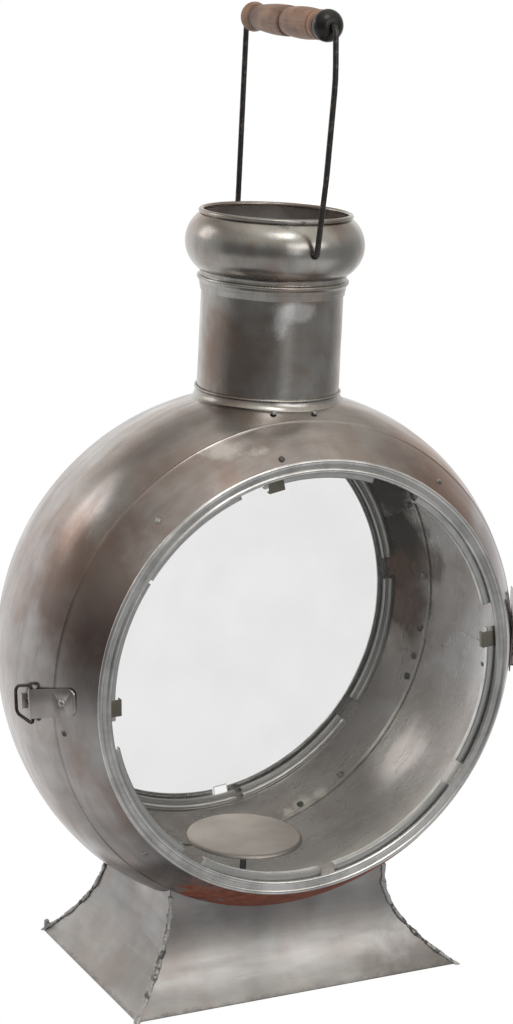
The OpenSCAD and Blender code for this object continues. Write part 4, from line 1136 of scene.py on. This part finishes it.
def build_bail(context):
    s = sizes()
    foot, low, high = s.bulb_r / MM + 4.6, BAIL_PIVOT / MM, GRIP_AXIS / MM
    rise = high - low
    corners = [(-s.bulb_r / MM + 9, low), (-foot, low), (-0.4 * foot - 60.9, low + rise * 0.35),
               (-BOW, low + rise * 0.78), (5 - BOW, high), (foot - 2.6, high),
               (foot - 2.4, low + 31), (foot, low), (s.bulb_r / MM - 9, low)]
    corners = [(0, y * MM, z * MM) for y, z in corners]
    radii = [r * MM for r in (4.2, 200, 120, 6, 10, 40, 4.2)]
    path = rounded_path(corners, radii)
    bpy.ops.object.select_all(action='DESELECT')
    bpy.ops.curve.primitive_nurbs_path_add()
    wire = bpy.context.object
    wire.data.splines.clear()
    spline = wire.data.splines.new('POLY')
    spline.points.add(len(path) - 1)
    for point, place in zip(spline.points, path):
        point.co = (*place, 1)
    wire.data.bevel_depth = 2.5 * MM
    wire.data.bevel_resolution = 6
    wire.data.use_fill_caps = True
    bpy.ops.object.convert(target='MESH')
    wire = bpy.context.object
    start_edit()
    clean_mesh()
    settle(wire, "bail_wire.bent", "bail", "dark_steel", black_iron(), "bail_wire", smooth=50)


# How far the bail bows out in front, and the grip's stations from its rear end, in mm
BOW = 101.5
WOOD = 143.5
BEAD = 17.5


def build_grip(context):
    s = sizes()
    bore = 2.58 * MM
    full = s.grip_r / MM
    # Rear flange, two lobes with a groove between them, and the front flange
    rear = [(full - 5.2, 0), (full - 3.0, 0.3), (full - 1.3, 1.5), (full - 0.4, 3.4),
            (full - 0.3, 5.5), (full - 0.8, 8), (full - 1.8, 11.5), (full - 2.7, 14.6),
            (full - 3.1, 16.6), (full - 3.1, 17.6)]
    first = [(full - 3.0 + 3.1 * math.sin(math.pi * (0.05 + 0.60 * t)), 18.4 + 59.6 * t)
             for t in spaced(0, 1, 16)]
    groove = [(full - 0.6, 78.6), (full - 1.9, 79.4), (full - 2.3, 80.4), (full - 1.9, 81.3)]
    second = [(full - 1.2 + 1.5 * math.sin(math.pi * (0.06 + 0.86 * t)), 82 + 50.5 * t)
              for t in spaced(0, 1, 16)]
    front = [(full - 1.6, 133.2), (full - 2.1, 134.2), (full - 1.3, 135.2), (full - 0.7, 137),
             (full - 0.6, 140), (full - 1.0, 142.3), (full - 2.0, WOOD)]
    outline = [(r * MM, GRIP_REAR - d * MM) for r, d in rear + first + groove + second + front]
    outline += [(bore, GRIP_REAR - WOOD * MM), (bore, GRIP_REAR)]
    grip = turned(outline, 'Y', (0, 0, GRIP_AXIS), 96)
    settle(grip, "grip_wood.turned", "grip", "wood", turned_wood(), "grip_wood", smooth=30)

    back = GRIP_REAR - WOOD * MM
    outline = [((full - 3.2) * MM, back)]
    outline += [((full + 0.35) * MM * math.sqrt(max(0.0, 1 - ((t - 0.45) / 0.6) ** 2)),
                 back - BEAD * MM * t) for t in spaced(0.04, 1.0, 20)]
    outline += [(bore, back - BEAD * MM), (bore, back)]
    bead = turned(outline, 'Y', (0, 0, GRIP_AXIS), 96)
    settle(bead, "grip_bead.turned", "grip", "black_bead", black_lacquer(), "grip_bead")


# ---- Stage ----

def build_stage(context):
    scene = context.scene
    scene.view_settings.view_transform = 'Standard'
    camera = bpy.data.objects.new("photo_camera", bpy.data.cameras.new("photo_camera"))
    scene.collection.objects.link(camera)
    camera.location = (-0.8979977, -1.8735847, 0.9385916)
    camera.rotation_euler = [math.radians(a) for a in (76.18548, -2.81784, -24.80365)]
    camera.data.sensor_width = 36
    camera.data.lens = 82.354
    camera.data.clip_end = 50
    scene.camera = camera

    bpy.ops.object.select_all(action='DESELECT')
    # A flat sheet of paper that starts just in front of the lantern and runs far behind it
    bpy.ops.mesh.primitive_plane_add(size=1, scale=(8, 14, 1), location=(3.38, 6.05, 0))
    bpy.ops.object.transform_apply(location=True, rotation=True, scale=True)
    floor = bpy.context.object
    floor.name = "floor"
    made = bpy.data.materials.new("pale_floor")
    made.use_nodes = True
    tree = made.node_tree
    tree.nodes.clear()
    # The glow lifts the floor to white for the camera; the object's shadow stays on it
    seen = add(tree, 'ShaderNodeLightPath').outputs['Is Camera Ray']
    seen = maths(tree, 'MULTIPLY', seen, 0.62)
    # Metal mirrors it brighter in front and dimmer at the left
    mirrored = add(tree, 'ShaderNodeLightPath').outputs['Is Glossy Ray']
    place = add(tree, 'ShaderNodeTexCoord').outputs['Object']
    across = add(tree, 'ShaderNodeSeparateXYZ', {0: place}).outputs['X']
    dim = maths(tree, 'MULTIPLY', mirrored, band(tree, across, -0.4, -0.6, 0.1, 0.6))
    matt = add(tree, 'ShaderNodeBsdfDiffuse', {
        'Color': blend(tree, dim, tones().floor, (0.0, 0.0, 0.0))})
    glow = add(tree, 'ShaderNodeEmission', {'Strength': maths(
        tree, 'MULTIPLY_ADD', mirrored, band(tree, across, -0.6, -0.4, 0.0, 0.34), seen)})
    surface(tree, add(tree, 'ShaderNodeAddShader', {0: matt.outputs[0], 1: glow.outputs[0]}))
    floor.data.materials.append(made)

    world = bpy.data.worlds.new("studio")
    scene.world = world
    world.use_nodes = True
    tree = world.node_tree
    tree.nodes.clear()
    # A dim room in front and at the left, white paper behind, a grey ceiling
    way = add(tree, 'ShaderNodeTexCoord').outputs['Generated']
    parts = add(tree, 'ShaderNodeSeparateXYZ', {0: way}).outputs
    paper = band(tree, parts['Y'], 0.0, 0.95, 0.0, 0.88)
    room = maths(tree, 'MULTIPLY_ADD', paper, band(tree, parts['Z'], 0.25, 0.6, 1.0, 0.25), 0.17)
    room = maths(tree, 'ADD', room, band(tree, parts['X'], -0.3, 0.6, 0.0, 0.14))
    front = band(tree, parts['Y'], 0.35, -0.35, 0.25, 1.0)
    room = maths(tree, 'MULTIPLY_ADD', front, band(tree, parts['Z'], 0.1, 0.55, 0.0, 0.42), room)
    room = maths(tree, 'ADD', room, band(tree, parts['Z'], 0.72, 0.97, 0.0, 0.45))
    left = maths(tree, 'MULTIPLY', band(tree, parts['Y'], 0.7, 0.2),
                 band(tree, parts['X'], -0.3, -0.5))
    low = maths(tree, 'MAXIMUM', left, band(tree, parts['Y'], 0.0, -0.5))
    room = maths(tree, 'MULTIPLY_ADD', low, band(tree, parts['Z'], -0.27, -0.45, 0.0, 0.33), room)
    path = add(tree, 'ShaderNodeLightPath')
    plain = add(tree, 'ShaderNodeMath', {
        0: path.outputs['Is Camera Ray'], 1: path.outputs['Is Transmission Ray']},
        operation='MAXIMUM').outputs[0]
    level = add(tree, 'ShaderNodeMix', {0: plain, 2: room, 3: 1.0}, data_type='FLOAT').outputs[0]
    warm = maths(tree, 'MULTIPLY', band(tree, parts['Z'], 0.0, 0.5),
                 maths(tree, 'SUBTRACT', 1.0, plain))
    tint = blend(tree, warm, (1.0, 1.0, 1.0), (1.0, 0.95, 0.87))
    back = add(tree, 'ShaderNodeBackground', {'Color': tint, 'Strength': level})
    add(tree, 'ShaderNodeOutputWorld', {'Surface': back.outputs[0]})

    # Soft boxes: (name, place, point it faces, width, height, power in watts)
    for name, place, aim, width, height, power in (
            ("front_box", (0.05, -2.6, 0.75), (0, 0, 0.6), 0.75, 1.0, 2.2),
            ("front_high_box", (0.7, -2.4, 1.55), (0, 0, 0.2), 2.2, 0.7, 8.5),
            ("rear_left_box", (-1.3, 1.16, 1.33), (0.1, 0, 0.2), 0.75, 0.75, 3),
            ("top_box", (-0.25, -1.5, 2.75), (0, 0, 0.4), 1.1, 0.8, 9)):
        lamp = bpy.data.lights.new(name, 'AREA')
        lamp.shape = 'RECTANGLE'
        lamp.size, lamp.size_y, lamp.energy = width, height, power
        box = bpy.data.objects.new(name, lamp)
        scene.collection.objects.link(box)
        box.location = place
        box.rotation_euler = (Vector(aim) - Vector(place)).to_track_quat('-Z', 'Y').to_euler()
        box.visible_camera = False


# ---- Operators, panel and registration ----

class LANTERN_OT_ring(Operator):
    """Builds the hollow ring: its band, the rear dish and the lap inside"""
    bl_idname = "lantern.ring"
    bl_label = "Ring"

    def execute(self, context):
        build_ring(context)
        return {'FINISHED'}


class LANTERN_OT_rims(Operator):
    """Builds the galvanised rims that cover the edges of both dishes"""
    bl_idname = "lantern.rims"
    bl_label = "Rims"

    def execute(self, context):
        build_rims(context)
        return {'FINISHED'}


class LANTERN_OT_panes(Operator):
    """Finishes both panes and builds the strips and clips that hold them"""
    bl_idname = "lantern.panes"
    bl_label = "Panes"

    def execute(self, context):
        build_panes(context)
        return {'FINISHED'}


class LANTERN_OT_door(Operator):
    """Builds the door's dish with its hem, and the tack welds"""
    bl_idname = "lantern.door"
    bl_label = "Door"

    def execute(self, context):
        build_door(context)
        return {'FINISHED'}


class LANTERN_OT_neck(Operator):
    """Builds the neck with its collar and bead"""
    bl_idname = "lantern.neck"
    bl_label = "Neck"

    def execute(self, context):
        build_neck(context)
        return {'FINISHED'}


class LANTERN_OT_bulb(Operator):
    """Builds the bulb with the bail's holes, and its rolled lip"""
    bl_idname = "lantern.bulb"
    bl_label = "Bulb"

    def execute(self, context):
        build_bulb(context)
        return {'FINISHED'}


class LANTERN_OT_foot(Operator):
    """Builds the four flared panels of the foot and the welds down its corners"""
    bl_idname = "lantern.foot"
    bl_label = "Foot"

    def execute(self, context):
        build_foot(context)
        return {'FINISHED'}


class LANTERN_OT_candle(Operator):
    """Builds the candle plate, its stem and what holds it"""
    bl_idname = "lantern.candle"
    bl_label = "Candle plate"

    def execute(self, context):
        build_candle(context)
        return {'FINISHED'}


class LANTERN_OT_hardware(Operator):
    """Builds the hinge, the latch and their rivets"""
    bl_idname = "lantern.hardware"
    bl_label = "Hinge and latch"

    def execute(self, context):
        build_hardware(context)
        return {'FINISHED'}


class LANTERN_OT_bail(Operator):
    """Builds the wire bail"""
    bl_idname = "lantern.bail"
    bl_label = "Bail"

    def execute(self, context):
        build_bail(context)
        return {'FINISHED'}


class LANTERN_OT_grip(Operator):
    """Builds the turned grip and the bead in front of it"""
    bl_idname = "lantern.grip"
    bl_label = "Grip"

    def execute(self, context):
        build_grip(context)
        return {'FINISHED'}


class LANTERN_OT_stage(Operator):
    """Sets up the floor, the soft boxes, the surroundings and the camera"""
    bl_idname = "lantern.stage"
    bl_label = "Stage"

    def execute(self, context):
        build_stage(context)
        return {'FINISHED'}


STEPS = (LANTERN_OT_ring, LANTERN_OT_rims, LANTERN_OT_panes, LANTERN_OT_door,
         LANTERN_OT_neck, LANTERN_OT_bulb, LANTERN_OT_foot, LANTERN_OT_candle,
         LANTERN_OT_hardware, LANTERN_OT_bail, LANTERN_OT_grip, LANTERN_OT_stage)


class LANTERN_PT_build(Panel):
    """Lists the lantern's sizes, colours and building steps"""
    bl_idname = "LANTERN_PT_build"
    bl_label = "Lantern"
    bl_space_type = 'VIEW_3D'
    bl_region_type = 'UI'
    bl_category = "Lantern"

    def draw(self, context):
        layout = self.layout
        for group in (context.scene.lantern_sizes, context.scene.lantern_colours):
            column = layout.column(align=True)
            for name in group.__annotations__:
                column.prop(group, name)
        for step in STEPS:
            layout.operator(step.bl_idname)


CLASSES = (LanternSizes, LanternColours, *STEPS, LANTERN_PT_build)


def register():
    for cls in CLASSES:
        bpy.utils.register_class(cls)
    bpy.types.Scene.lantern_sizes = PointerProperty(type=LanternSizes)
    bpy.types.Scene.lantern_colours = PointerProperty(type=LanternColours)


def unregister():
    del bpy.types.Scene.lantern_colours
    del bpy.types.Scene.lantern_sizes
    for cls in reversed(CLASSES):
        bpy.utils.unregister_class(cls)


def main():
    register()
    for step in STEPS:
        group, name = step.bl_idname.split(".")
        getattr(getattr(bpy.ops, group), name)()


if __name__ == "__main__":
    main()
